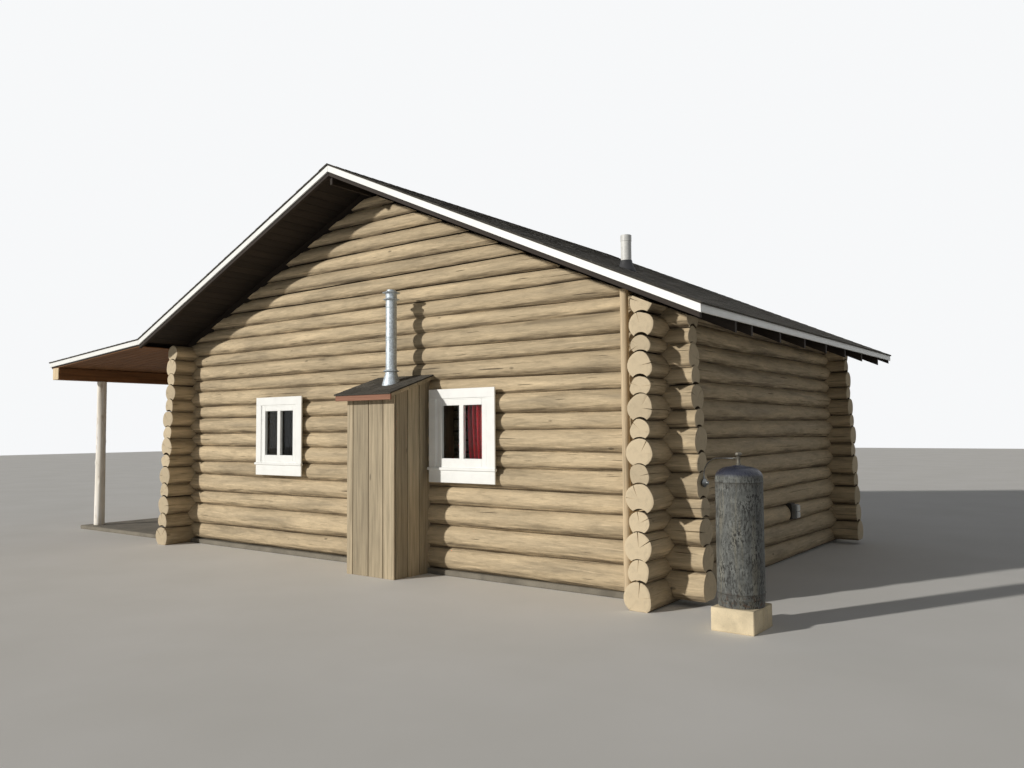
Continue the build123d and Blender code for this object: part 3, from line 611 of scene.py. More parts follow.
def cylinder_paint(name, tint):
    """Old grey paint on steel: mottled, crazed down to dark steel in short upright flakes, rusty by the
    foot, with yellowish stains, a darker dome and painted shade just under the weld beads."""
    paint = Paint(name, tint)
    up = paint.node("ShaderNodeSeparateXYZ", Vector=paint.object).outputs[2]
    mottle = paint.noise(paint.object, 11, 7, 0.66)
    flake = paint.fit(paint.noise(paint.object, (66, 66, 27), 5, 0.75), 0.5, 0.55)
    dense = paint.fit(paint.noise(paint.object, 5.5, 4, 0.6), 0.36, 0.62, 0.35, 1)
    run = paint.noise(paint.object, (24, 24, 1.6), 4)
    rust = paint.fit(paint.noise(paint.object, 26, 6, 0.7), 0.52, 0.64)
    dome = paint.fit(up, 1.2, 1.235)
    paint.base = paint.ramp(mottle, (0.3, 0.55), (0.5, 1), (0.7, 1.6))
    paint.coat(paint.fit(run, 0.5, 0.72, 0, 0.45), shade(134, 127, 106))
    paint.coat(paint.fit(run, 0.46, 0.3, 0, 0.6), 0.42)
    paint.coat(paint.times(paint.times(flake, dense), 0.95), shade(40, 39, 37))
    paint.coat(paint.times(paint.fit(up, 0.2, 0.36, 0.7, 0), rust), shade(96, 68, 48))
    paint.coat(paint.times(dome, 0.9), shade(36, 40, 58))
    # Painted shade just under the weld beads, from the mesh.
    paint.coat(paint.times(paint.read("dirt"), 0.6), shade(60, 56, 50))
    rough = paint.total((paint.fit(mottle, 0.3, 0.7, 0.6, 0.8), 1), (dome, -0.35))
    height = paint.total((mottle, 0.4), (flake, -0.6))
    return paint.finish(rough, height, 0.0015, 0.7, Specular_IOR_Level=0.35)


def plain_metal(name, tint, rough, metallic=1.0):
    """Cast or drawn metal with scratches and dull patches."""
    paint = Paint(name, tint)
    patch = paint.noise(paint.object, 40, 5, 0.6)
    paint.base = paint.ramp(patch, (0.3, 0.6), (0.55, 1), (0.8, 1.2))
    return paint.finish(paint.fit(patch, 0.3, 0.7, rough + 0.15, rough), patch, 0.0006, 0.5, Metallic=metallic)


def plain_coat(name, tint, rough):
    """Moulded plastic or rubber, or a smooth coat, with dust and faint unevenness."""
    paint = Paint(name, tint)
    dust = paint.noise(paint.object, 18, 6, 0.6)
    paint.base = paint.ramp(dust, (0.3, 0.8), (0.55, 1), (0.8, 1.12))
    return paint.finish(paint.fit(dust, 0.3, 0.7, rough, rough + 0.15), dust, 0.0008, 0.4)


def peeled_pole(name, tint):
    """Peeled unstained pole: pale, with long grain, brown bark remains and knots."""
    paint = Paint(name, tint)
    grain = paint.noise(paint.grain, (1.6, 30, 1), 6, 0.6)
    knot = paint.dots(paint.grain, (2.3, 4.2, 1), 0.04, 0.1)
    bark = paint.fit(paint.noise(paint.grain, (3, 12, 1), 4), 0.58, 0.68)
    paint.base = paint.ramp(grain, (0.3, 0.8), (0.48, 1), (0.7, 1.2))
    paint.coat(paint.times(knot, 0.8), shade(84, 58, 38))
    paint.coat(paint.times(bark, 0.45), shade(170, 148, 122))
    return paint.finish(0.7, paint.total((grain, 1), (knot, 1)), 0.004, 0.6, Specular_IOR_Level=0.3)


def pane(name, tint):
    """Window glass, clear with a faint green."""
    paint = Paint(name, tint)
    wave = paint.noise(paint.object, 3.0, 2)
    return paint.finish(0.02, wave, 0.002, 0.2, Transmission_Weight=1.0, IOR=1.22)


def cotton(name, tint):
    """Woven cotton: crossing threads, on the cloth's own measure, with painted shade in the folds from the mesh."""
    paint = Paint(name, tint)
    threads = [
        paint.node("ShaderNodeTexWave", {"bands_direction": way}, Vector=paint.grain, Scale=170.0).outputs["Fac"]
        for way in "XY"
    ]
    weave = paint.times(*threads)
    paint.base = paint.ramp(paint.noise(paint.grain, 6, 4), (0.3, 0.75), (0.7, 1.15))
    paint.coat(paint.fit(weave, 0, 1, 0.35, 0), 0.5)
    # Painted shade in the fold valleys and towards the curtain's left edge.
    paint.coat(paint.times(paint.read("dirt"), 0.95), 0.1)
    return paint.finish(0.9, weave, 0.0006, 0.6, Sheen_Weight=0.3, Sheen_Roughness=0.5)


# Each finish's recipe and its tint, which is one of the colour settings or a colour of its own
RECIPES = {
    "log_stain": (log_stain, "stain"),
    "log_end_stain": (log_end_stain, "ends"),
    "board_stain": (board_stain, "board"),
    "fascia_brown": (board_stain, shade(156, 112, 90)),
    "roof_timber": (board_stain, "timber"),
    "porch_timber": (board_stain, "ceiling"),
    "beam_end": (board_stain, shade(222, 200, 164)),
    "door_brown": (board_stain, shade(104, 82, 62), 0.55),
    "dark_pad": (board_stain, shade(58, 54, 48)),
    "pole_stain": (board_stain, shade(204, 184, 152), 0.7, False),
    "white_paint": (white_paint, "white"),
    "shingle_grit": (shingle_grit, "grit"),
    "slab_concrete": (concrete, shade(132, 126, 114)),
    "block_concrete": (concrete, shade(222, 206, 174)),
    "zinc": (galvanised, "zinc"),
    "cylinder_paint": (cylinder_paint, "cylinder"),
    "brass": (plain_metal, shade(150, 130, 92), 0.42),
    "dull_valve": (plain_metal, shade(112, 108, 98), 0.55, 0.7),
    "grey_metal": (plain_metal, shade(120, 122, 122), 0.4),
    "grey_plastic": (plain_coat, shade(120, 122, 122), 0.45),
    "vent_white": (plain_coat, shade(232, 232, 228), 0.4),
    "boot_rubber": (plain_coat, shade(48, 48, 50), 0.6),
    "peeled_pole": (peeled_pole, shade(255, 249, 236)),
    "pane": (pane, (0.86, 0.9, 0.88)),
    "cotton": (cotton, "curtain"),
}
FINISHES = {}


def finish(name):
    """A finish by name, made when it is first asked for."""
    if name not in FINISHES:
        make, tint, *more = RECIPES[name]
        if isinstance(tint, str):
            tint = tuple(getattr(bpy.context.scene.cabin_colours, tint))
        FINISHES[name] = make(name, tint, *more)
    return FINISHES[name]


# ---------------------------------------------------------------- logs


def course_height(index):
    """Height of one course of logs: each is a little lower than the one under it."""
    return FIRST_COURSE - COURSE_LESS * min(index, SIDE_COURSES - 1)


def seam(index):
    """Height of the seam under a side wall's course."""
    return sum(course_height(k) for k in range(index))


def gable_seam(index):
    """Height of the seam under a gable wall's course, half a course above the side walls'."""
    if index < 2:
        return (SLAB, 0.29)[index]
    return (seam(index) + seam(index + 1)) / 2


def side_measure(index):
    """Centre height, radius and half length of a side wall's log."""
    if index == SIDE_COURSES - 1:
        return seam(index) - BEDDING / 2 + PLATE_RADIUS, PLATE_RADIUS, SIDE_END - STEP_BACK
    height = course_height(index)
    back = STEP_BACK * (index / (SIDE_COURSES - 1)) ** 0.8
    return seam(index) + height / 2, (height + BEDDING) / 2, SIDE_END - back


def gable_measure(index):
    """Centre height, radius and half length of a gable wall's log."""
    low, high = gable_seam(index), gable_seam(index + 1)
    past = FLYWAY - FLYWAY_LESS * index if index < SIDE_COURSES - 1 else 0
    return (low + high) / 2, (high - low + BEDDING) / 2, SIDE_X + past


def roof_top(x):
    """Height of the roof's top surface at a distance from the ridge, to the right or the left."""
    left = RIDGE + np.maximum(x, -BREAK) * LEFT_SLOPE + np.minimum(x + BREAK, 0) * PORCH_SLOPE
    return np.where(x >= 0, RIDGE - x * RIGHT_SLOPE, left)


def roof_under(x):
    """Height of the rafters' undersides, which lie at one depth square to the roof's slope."""
    slope = np.where(x >= 0, RIGHT_SLOPE, np.where(x >= -BREAK, LEFT_SLOPE, PORCH_SLOPE))
    return roof_top(x) - UNDER_ROOF * np.sqrt(1 + slope**2)


class Log:
    """One log before its copes and notches. Its line wanders sideways and up as slow sines, and its
    radius is the course's own, plus the butt's swell in proportion to the place along it, plus ripples."""

    def __init__(self, settings, wall, index, height, radius, half):
        self.height, self.mean, self.index = height, radius, index
        self.butt = wall["butt"] * (-1 if index % 2 else 1)
        own = np.random.default_rng(settings.seed * 1000 + wall["number"] * 100 + index)
        self.own = own
        self.half = half + own.uniform(-0.009, 0.009)
        self.bow = own.uniform(-1, 1, 2) * settings.bow * (1, 0.6)
        self.lobes = own.uniform(0.2, 1, 3) * (0.0075, 0.005, 0.0026)
        self.phase = own.uniform(0, 2 * math.pi, 8)
        self.tone = own.uniform()
        self.pith = own.uniform(-0.02, 0.02, 2)
        self.swell = settings.swell * own.uniform(0.75, 1.1)
        self.ripple = settings.ripple

    def line(self, u):
        """Sideways place and height of the log's centre at a place along it."""
        side = self.bow[0] * np.sin(0.8 * u + self.phase[0])
        return side, self.height + self.bow[1] * np.sin(1.3 * u + self.phase[6])

    def radius(self, u):
        """Mean radius at a place along the log."""
        taper = self.swell * self.butt * np.clip(u / self.half, -1, 1)
        return self.mean + taper + 0.0015 * np.sin(2.1 * u + self.phase[1]) + 0.001 * np.sin(5.3 * u + self.phase[2])

    def surface(self, u, angle):
        """Radius at a place along the log and an angle round it: the mean, three low lobes that turn
        slowly along it and are fullest by its ends, and a drawknife's flats."""
        full = 0.35 + 0.65 * np.clip((np.abs(u) - self.half + 0.5) / 0.3, 0, 1)
        turn_by = 0.5 * np.sin(0.7 * u + self.phase[1])
        lobes = sum(
            size * np.sin(k * (angle + turn_by) + self.phase[k]) for k, size in zip((2, 3, 4), self.lobes)
        )
        flats = np.sin(3 * angle + 1.3 * np.sin(1.1 * u + self.phase[3]) + self.phase[4])
        dents = np.sin(5 * angle + 3.1 * u + self.phase[5]) * np.sin(2.7 * u + self.phase[6])
        return self.radius(u) + lobes * full + self.ripple * (0.45 * flats + 0.4 * dents)


# Each wall's number, the axis that it runs along, its place and the side of its first butt
WALLS = {
    "right_wall": (1, 1, SIDE_X, -1),
    "porch_wall": (2, 1, -SIDE_X, -1),
    "front_gable": (3, 0, -GABLE_Y, 1),
    "back_gable": (4, 0, GABLE_Y, 1),
}


def wall_of(settings, name):
    """A wall's logs, with its line's direction and place."""
    wall = dict(zip(("number", "along", "place", "butt"), WALLS[name]))
    measure, count = (side_measure, SIDE_COURSES) if wall["along"] else (gable_measure, GABLE_COURSES)
    wall["logs"] = [Log(settings, wall, k, *measure(k)) for k in range(count)]
    return wall


def openings_of(name):
    """A wall's openings as (from, to, bottom, top) along it."""
    half = WINDOW[0] / 2
    if name == "front_gable":
        return [(x - half, x + half, SILL, SILL + WINDOW[1]) for x in WINDOW_X]
    if name == "porch_wall":
        middle, wide, low, tall = DOOR
        return [
            (PORCH_WINDOW_Y - half, PORCH_WINDOW_Y + half, SILL, SILL + WINDOW[1]),
            (middle - wide / 2, middle + wide / 2, low, low + tall),
        ]
    return []


def stretches(log, start, end, openings):
    """The lengths of a log that stand between the openings that its centre lies in."""
    runs = [(start, end)]
    for near, far, low, high in openings:
        if low < log.height < high:
            cut = []
            for a, b in runs:
                if near < b and far > a:
                    cut += [(a, min(b, near)), (max(a, far), b)]
                else:
                    cut.append((a, b))
            runs = [(a, b) for a, b in cut if b - a > 0.05]
    return runs


def places_along(start, end, crossings, edges):
    """Where a log's rows stand: evenly, and closer at its ends, its notches and an opening's edges."""
    close = np.array([0, 0.26, 0.5, 0.7, 0.85, 0.94, 0.985, 1.0, 1.03, 1.2])
    near = [np.linspace(start, end, max(3, int((end - start) / ROW_STEP)))]
    near += [middle + side * reach * close for middle, reach in crossings for side in (-1, 1)]
    near += [edge + np.array([-0.0006, 0.0006]) for edge in edges]
    tips = np.array([0, 0.004, 0.02, 0.05, 0.1, 0.16])
    near += [start + tips, end - tips]
    found = np.unique(np.round(np.concatenate(near), 5))
    found = found[(found >= start) & (found <= end)]
    keep = np.concatenate([[True], np.diff(found) > 0.0009])
    return found[keep]


def add_end(shape, log, along, ring, sunk, way, centre):
    """A log's sawn end: rings that shrink from its rim to its middle, pushed out a little, with the
    drying checks sunk into them. A point is the middle plus a share of the rim's distance from it."""
    middle = ring.mean(axis=0)
    if np.ptp(ring[:, 2]) > 0.15:
        middle[2] = min(centre, ring[:, 2].max() - 0.01)
    inward = np.array([1.0, 0.965, 0.78, 0.5, 0.22, 0.0])[:, None]
    points = middle + inward[..., None] * (ring - middle)
    points[0] = ring
    sink = sunk / 0.6 * inward
    sink[0] = 0
    points[..., along] -= way * (np.where(inward < 1, 0.0035, 0) - sink)
    flat = inward[..., None] * (ring - middle)[:, [1 - along, 2]] + log.pith
    flat = np.concatenate([flat, flat[:, :1]], 1)
    # Darker round the rim, and painted shade in the sunk drying checks.
    dark_rim_and_check_shade = np.maximum(0.35 * np.clip((inward - 0.9) / 0.1, 0, 1), np.clip(sink / 0.01, 0, 1))
    shape.sheet(points, flat, wrap=True, tone=log.own.uniform(), dirt=dark_rim_and_check_shade, finish=1)


def add_log(shape, log, wall, below, crossing, openings, run, settings):
    """A log's surface between two places. Round its section the angle is measured from straight down.
    Outside the cope, a point lies at the surface's radius; inside it the point keeps its share of the
    cope's width, and its height is the greatest of the log's own underside, the top of the log below
    (its height plus the root of its radius squared less the offset squared) and the tops of the logs it
    crosses, both less the seat, and the slab or the opening it stands over. Tops are cut by the openings
    and the rafters."""
    start, end = run
    notches = [(other.place, other.log.radius(wall["place"])) for other in crossing]
    u = places_along(start, end, notches, [edge for opening in openings for edge in opening[:2]])[:, None]
    side, height = log.line(u)
    radius = log.radius(u)
    floor = (0.0 if wall["along"] else SLAB) if log.index == 0 else -1.0
    over, cap = np.full_like(u, floor), np.full_like(u, 9.0)
    for near, far, low, high in openings:
        within = (u > near) & (u < far)
        if log.height >= high:
            over = np.where(within, np.maximum(over, high), over)
        elif log.height <= low:
            cap = np.where(within, low, cap)
    for other, (_, reach) in zip(crossing, notches):
        lean, level = other.log.line(np.array(wall["place"]))
        apart = np.clip(np.abs(u - other.place - lean) / reach, 0, 1)
        top = level + reach * np.sqrt(1 - apart**2) - SEAT
        over = np.where(apart < 1, np.maximum(over, top), over)
    walls_end = max(abs(other.place) for other in crossing) if crossing else 0
    stub = np.clip((np.abs(u) - walls_end - 0.1) / 0.05, 0, 1)
    gape = stub * log.own.uniform(0.25, 1.0) * settings.gape
    bed = np.full_like(u, -9.0)
    if below is not None:
        (below_side, below_height), below_radius = below.line(u), below.radius(u)
        lifted = below_height + gape - SEAT * (1 - stub)
        gone = np.zeros_like(u, bool)
        for near, far, low, high in openings:
            if low < below.height < high:
                gone |= (u > near) & (u < far)
        apart = height - lifted
        bed = height - (apart**2 + radius**2 - below_radius**2) / (2 * apart)
        bed = np.where(gone, -9.0, bed)
    edge = np.clip(np.maximum(bed, over), height - 0.995 * radius, height + 0.97 * radius)
    wide = np.arccos(np.clip((height - edge) / radius, -1, 1))

    half = np.array([0, 0.3, 0.58, 0.8, 0.95])
    outer = np.linspace(0, 1, 19)
    checks = np.sort(log.own.uniform(0.1, 0.9, 2))
    if checks[1] - checks[0] < 0.1:
        checks[1] = min(0.93, checks[0] + 0.2)
    thin = 0.0075       # half of a drying check's width, as a share of the way round
    outer = outer[np.min(np.abs(outer[:, None] - checks), axis=1) > 1.6 * thin]
    outer = np.sort(np.concatenate([outer, checks, checks - thin, checks + thin]))
    split = [np.isclose(outer, check) for check in checks]
    angle = wide + (2 * math.pi - 2 * wide) * outer[None, :]
    skin = log.surface(u, angle)
    away = [np.abs(u - start), np.abs(end - u)]
    free = [abs(abs(start) - log.half) < 0.01, abs(abs(end) - log.half) < 0.01]
    groove = np.zeros_like(angle)
    for mark, strengths in zip(split, log.own.uniform(0, 1, (2, 2)) ** 2):
        for tip, strength, open_end in zip(away, strengths, free):
            depth = settings.check * strength * np.exp(-tip / 0.13) * (0.8 if open_end else 0)
            groove = np.maximum(groove, depth * mark[None, :])
        slow = np.sin(1.7 * u + log.phase[7]) * np.sin(0.9 * u + log.phase[1])
        groove = np.maximum(groove, 0.011 * np.clip(slow - 0.25, 0, 1) * mark[None, :])
    skin = skin - groove
    outer_h = skin * np.sin(angle)
    outer_z = height - skin * np.cos(angle)
    shares = np.concatenate([half, -half[:0:-1]])
    edge_radius = log.surface(u, wide)
    edge_h = edge_radius * np.sin(wide)
    inner_h = edge_h * shares[None, :]
    own = height - np.sqrt(np.maximum(edge_radius**2 - inner_h**2, 0))
    inner_z = np.maximum(own, over)
    if below is not None:
        shift = inner_h + side - below_side
        inside = np.abs(shift) < below_radius
        crown = lifted + np.sqrt(np.maximum(below_radius**2 - shift**2, 0))
        crown = np.where(inside & ~gone, crown, -9.0)
        inner_z = np.maximum(inner_z, crown)
    split_at = len(half)
    h = np.concatenate([inner_h[:, :split_at], outer_h, inner_h[:, split_at:]], 1)
    z = np.concatenate([inner_z[:, :split_at], outer_z, inner_z[:, split_at:]], 1)
    turned = np.concatenate([np.zeros((len(u), split_at)), angle, np.zeros((len(u), len(half) - 1))], 1)
    x, y = u + 0 * h, wall["place"] + h + side
    if wall["along"]:
        x, y = y, x
    z = np.maximum(np.minimum(np.minimum(z, cap), roof_under(x) - 0.001), 0)
    body = np.stack([x, y, z], -1)

    # Painted shade: dark bands at the seams above and below each log, a lower flank that darkens towards the
    # underside, the cope's underside all dark, and dark in the sunk drying checks.
    down = np.cos(turned)
    dirt = np.clip((np.abs(down) - 0.8) / 0.12, 0, 1) ** 2
    dirt = np.maximum(dirt, 0.72 * np.clip((down + 0.05) / 0.85, 0, 1) ** 1.4)
    dirt[:, :split_at] = 1
    dirt[:, split_at + angle.shape[1]:] = 1
    pad = np.zeros((len(u), split_at))
    sunk = np.concatenate([pad, groove, pad[:, 1:]], 1)
    dirt = np.maximum(dirt, np.clip(sunk / 0.006, 0, 1))
    around = np.concatenate([turned, turned[:, :1] + 2 * math.pi], 1) * log.mean
    grain = np.stack(np.broadcast_arrays(u + 11.3 * log.index + 3 * wall["number"], around + log.index), -1)
    shape.sheet(body, grain, wrap=True, tone=log.tone, dirt=dirt)

    for row, way in ((0, 1), (-1, -1)):
        add_end(shape, log, wall["along"], body[row], sunk[row], way, height[0, 0])


class Crossing:
    """A log that lies below another and crosses it, and where its wall stands."""

    def __init__(self, log, place):
        self.log, self.place = log, place


def add_wall(settings, name):
    """Both pieces of a wall: every second log, from the lowest and from the one above it."""
    walls = {key: wall_of(settings, key) for key in WALLS}
    wall = walls[name]
    across = [other for other in walls.values() if other["along"] != wall["along"]]
    openings = openings_of(name)
    for first, word in enumerate(("odd", "even")):
        shape = Shape()
        for log in wall["logs"][first::2]:
            below = wall["logs"][log.index - 1] if log.index else None
            crossing = [
                Crossing(lower, other["place"])
                for other in across
                for lower in other["logs"]
                if lower.height < log.height < lower.height + 2.2 * lower.mean
            ]
            start, end = -log.half, log.half
            if wall["along"] == 0:
                drop = RIDGE - (log.height - 0.82 * log.mean + 0.012)
                start = max(start, UNDER_ROOF * math.hypot(1, 1 / LEFT_SLOPE) - drop / LEFT_SLOPE)
                end = min(end, drop / RIGHT_SLOPE - UNDER_ROOF * math.hypot(1, 1 / RIGHT_SLOPE))
            for run in stretches(log, start, end, openings):
                add_log(shape, log, wall, below, crossing, openings, run, settings)
        build(
            f"{name}_log_wall_{word}", shape, "log_stain log_end_stain",
            [f"{name}_logs_{word}"], sharp=42,
        )


class CABIN_OT_logs(bpy.types.Operator):
    """Builds the four walls of coped and notched logs"""

    bl_idname = "cabin.logs"
    bl_label = "Log walls"

    def execute(self, context):
        for name in ("front_gable", "right_wall", "porch_wall", "back_gable"):
            add_wall(context.scene.cabin_logs, name)
        return {"FINISHED"}


class CABIN_OT_corner_pole(bpy.types.Operator):
    """Builds the round pole that stands in the front gable's right corner"""

    bl_idname = "cabin.corner_pole"
    bl_label = "Corner pole"

    def execute(self, context):
        low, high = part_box("corner_pole")
        centre = ((low.x + high.x) / 2, (low.y + high.y) / 2, 0)
        heights = np.linspace(low.z + 0.004, high.z - 0.004, 40)
        radius = 0.039 + 0.0012 * np.sin(3 * heights) + 0.0008 * np.sin(11 * heights)
        profile = [(0, low.z), (0.036, low.z), *zip(radius, heights), (0.036, high.z), (0, high.z)]
        shape = Shape()
        turn(shape, centre, profile, 24, tone=0.8)
        build("round_corner_pole", shape, "pole_stain", ["corner_pole"])
        return {"FINISHED"}


# ---------------------------------------------------------------- roof


def slope_of(side):
    """A slope's way along x, its fall for each metre across and its length for each metre across: side is
    1 for the right slope, -1 for the left and -2 for the porch roof."""
    return (1 if side > 0 else -1), SLOPES[side], math.hypot(1, SLOPES[side])


def slope_line(side, x_in, x_out, depth, y):
    """The two ends of a line that lies in a roof slope at a depth square to it, and what is square to it."""
    sign, slope, stretch = slope_of(side)
    half = (x_out - x_in) / 2
    level = float(roof_top(np.array(sign * (x_in + x_out) / 2))) - depth * stretch
    square = (sign * slope / stretch, 0, 1 / stretch)
    return (sign * x_in, y, level + half * slope), (sign * x_out, y, level - half * slope), square


def slope_board(shape, side, x_in, x_out, above, depth, y, thick, **more):
    """A board on edge that runs up a slope with plumb ends: depth is measured square to the slope."""
    start, end, square = slope_line(side, x_in, x_out, above + depth / 2, y + thick / 2)
    plank(shape, start, end, depth, thick, face=square, cuts=((1, 0, 0), (1, 0, 0)), **more)


def deck_boards(shape, side, x_in, x_out, above, thick, settings):
    """Boards that run the roof's length, laid flat side by side down a slope."""
    sign, slope, stretch = slope_of(side)
    run = (x_out - x_in) * stretch
    count = round(run / settings.board)
    level = float(roof_top(np.array(sign * (x_in + x_out) / 2)))
    for k in range(count):
        x = x_in + (k + 0.5) * run / count / stretch
        z = level - (x - (x_in + x_out) / 2) * slope - (above + thick / 2) * stretch
        plank(
            shape, (sign * x, ROOF_FRONT + TRIM, z), (sign * x, ROOF_BACK - TRIM, z), run / count - settings.gap,
            thick, face=(sign, 0, -slope), corner=0.0015, rows=2,
        )


def tab_courses(shape, origin, down, across, out, fall, wide, settings, hole):
    """Three-tab shingles on a plane: each tab is a thin wedge from under the course above to its own
    lower edge, which stands off the plane by the butt's height. origin is the plane's lower corner."""
    down, across, out = (np.array(v, float) for v in (down, across, out))
    courses = int(math.ceil(fall / settings.exposure))
    tabs = int(math.ceil(wide / settings.tab)) + 1
    row, column = np.meshgrid(np.arange(courses), np.arange(tabs), indexing="ij")
    row, column = row.ravel(), column.ravel()
    left = (column - 0.5 * (row % 2)) * settings.tab + RNG.uniform(-0.003, 0.003, len(row))
    right = np.clip(left + settings.tab - settings.slot, 0, wide)
    left = np.clip(left, 0, wide)
    low = row * settings.exposure
    high = np.minimum(low + settings.exposure + LAP, fall)
    keep = (right - left > LEAST_TAB) & (high - low > LEAST_TAB)
    row, left, right, low, high = (value[keep] for value in (row, left, right, low, high))
    lift = settings.lift + RNG.uniform(-0.0008, 0.0016, len(row))
    if hole is not None:
        at, reach = hole
        clear = (left > at[0] + reach) | (right < at[0] - reach) | (low > at[1] + reach) | (high < at[1] - reach)
        row, left, right, low, high, lift = (value[clear] for value in (row, left, right, low, high, lift))
    corners = np.zeros((len(row), 8, 3))
    grain = np.zeros((len(row), 8, 2))
    for k, (a, b) in enumerate([(left, low), (right, low), (right, high), (left, high)]):
        top = lift if k < 2 else np.full(len(row), 0.0012)
        base = np.array(origin) + a[:, None] * across - b[:, None] * down
        corners[:, k] = base - 0.001 * out
        corners[:, k + 4] = base + top[:, None] * out
        grain[:, k] = grain[:, k + 4] = np.stack([a, b], -1)
    shape.blocks(corners, grain, RNG.uniform(0, 1, len(row)))


class CABIN_OT_roof_frame(bpy.types.Operator):
    """Builds the rafters, the barge rafters and the ridge board"""

    bl_idname = "cabin.roof_frame"
    bl_label = "Roof frame"

    def execute(self, context):
        above = SHINGLE + DECK
        rafters, porch, barges, ridge = Shape(), Shape(), Shape(), Shape()
        for y in RAFTERS:
            slope_board(rafters, 1, TRIM, RIGHT_END, above, RAFTER, y - TRIM, 2 * TRIM, rows=3)
            slope_board(rafters, -1, TRIM, BREAK, above, RAFTER, y - TRIM, 2 * TRIM, rows=3)
            beside = -2 * TRIM if y == GABLE_Y else 2 * TRIM
            slope_board(porch, -2, BREAK, PORCH_END, above, PORCH_RAFTER, y + beside - TRIM, 2 * TRIM)
        for y in (ROOF_FRONT + TRIM, ROOF_BACK - 3 * TRIM):
            slope_board(barges, 1, 0.0005, RIGHT_END, above, TRIM_WIDTH, y, 2 * TRIM)
            slope_board(barges, -1, 0.0005, BREAK - 0.001, above, TRIM_WIDTH, y, 2 * TRIM)
            slope_board(barges, -2, BREAK, PORCH_END, above, PORCH_RAFTER, y, 2 * TRIM)
        fill(ridge, *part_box("ridge_board"), 1, 2)
        build("rafter_set", rafters, "roof_timber", ["main_rafters"])
        build("porch_rafter_set", porch, "porch_timber", ["porch_rafters"])
        build("barge_rafter_set", barges, "roof_timber", ["barge_rafters"])
        build("ridge_timber", ridge, "roof_timber", ["ridge_board"])
        return {"FINISHED"}


class CABIN_OT_roof_boards(bpy.types.Operator):
    """Builds the roof decks and the porch ceiling, board by board"""

    bl_idname = "cabin.roof_boards"
    bl_label = "Roof boards"

    def execute(self, context):
        settings = context.scene.cabin_roof
        for name, side, x_in, x_out in (
            ("right_deck", 1, 0.002, RIGHT_END), ("left_deck", -1, 0.002, BREAK), ("porch_deck", -2, BREAK, PORCH_END)
        ):
            shape = Shape()
            deck_boards(shape, side, x_in, x_out, SHINGLE, DECK, settings)
            build(f"{name}_boards", shape, "roof_timber", [name])
        shape = Shape()
        thick = 0.012
        start, end, _ = slope_line(-2, BREAK, PORCH_END, SHINGLE + DECK + PORCH_RAFTER + thick / 2, 0)
        wide = ROOF_BACK - ROOF_FRONT - 2 * TRIM
        count = round(wide / settings.board)
        for k in range(count):
            y = ROOF_FRONT + TRIM + (k + 0.5) * wide / count
            plank(
                shape, (start[0], y, start[2]), (end[0], y, end[2]), wide / count - 0.011, thick,
                face=(0, 1, 0), corner=0.003, rows=2,
            )
        build("porch_ceiling_boards", shape, "porch_timber", ["porch_ceiling"])
        return {"FINISHED"}


class CABIN_OT_shingles(bpy.types.Operator):
    """Builds the shingle tabs on the roof's three planes and the caps on the ridge"""

    bl_idname = "cabin.shingles"
    bl_label = "Shingles"

    def execute(self, context):
        settings = context.scene.cabin_roof
        lip = SHINGLE
        wide = ROOF_BACK - ROOF_FRONT + 2 * lip
        planes = (
            ("right", 1, 0.0, RIGHT_EAVE + lip), ("left", -1, 0.0, BREAK), ("porch", -2, BREAK, PORCH_EDGE + lip)
        )
        for name, side, x_in, x_out in planes:
            shape = Shape()
            sign, slope, stretch = slope_of(side)
            down = np.array((sign, 0, -slope)) / stretch
            out = np.array((sign * slope, 0, 1)) / stretch
            level = float(roof_top(np.array(sign * (x_in + x_out) / 2))) - (x_out - x_in) / 2 * slope
            fall = (x_out - x_in) * stretch
            hole = ((VENT[1] - ROOF_FRONT + lip, (x_out - VENT[0]) * stretch), 0.03) if side == 1 else None
            tab_courses(
                shape, (sign * x_out, ROOF_FRONT - lip, level), down, (0, 1, 0), out, fall, wide, settings, hole
            )
            keep_node(f"{name}_shingles", "shingle_grit")
            build(f"{name}_shingle_tabs", shape, "shingle_grit", sharp=20)
        caps = Shape()
        count = int(wide / settings.exposure)
        start = ROOF_FRONT - lip + np.arange(count) * (wide - CAP_LAP) / count
        for side in (1, -1):
            sign, slope, stretch = slope_of(side)
            corners = np.zeros((count, 8, 3))
            grain = np.zeros((count, 8, 2))
            for k, (far, late) in enumerate([(0, 0), (1, 0), (1, 1), (0, 1)]):
                x = sign * CAP_REACH * far / stretch
                z = RIDGE - abs(x) * slope
                y = np.minimum(start + late * (wide / count + CAP_LAP), ROOF_BACK + lip)
                top = 0.009 if late == 0 else 0.005
                for up, level in ((0, -0.001), (4, top)):
                    shift = level * sign * slope / stretch * far
                    corners[:, k + up] = np.stack([x + shift + 0 * y, y, z + level + 0 * y], -1)
                    grain[:, k + up] = np.stack([y, x + 0 * y], -1)
            caps.blocks(corners, grain, RNG.uniform(0, 1, count))
        build("ridge_caps", caps, "shingle_grit", sharp=20)
        return {"FINISHED"}


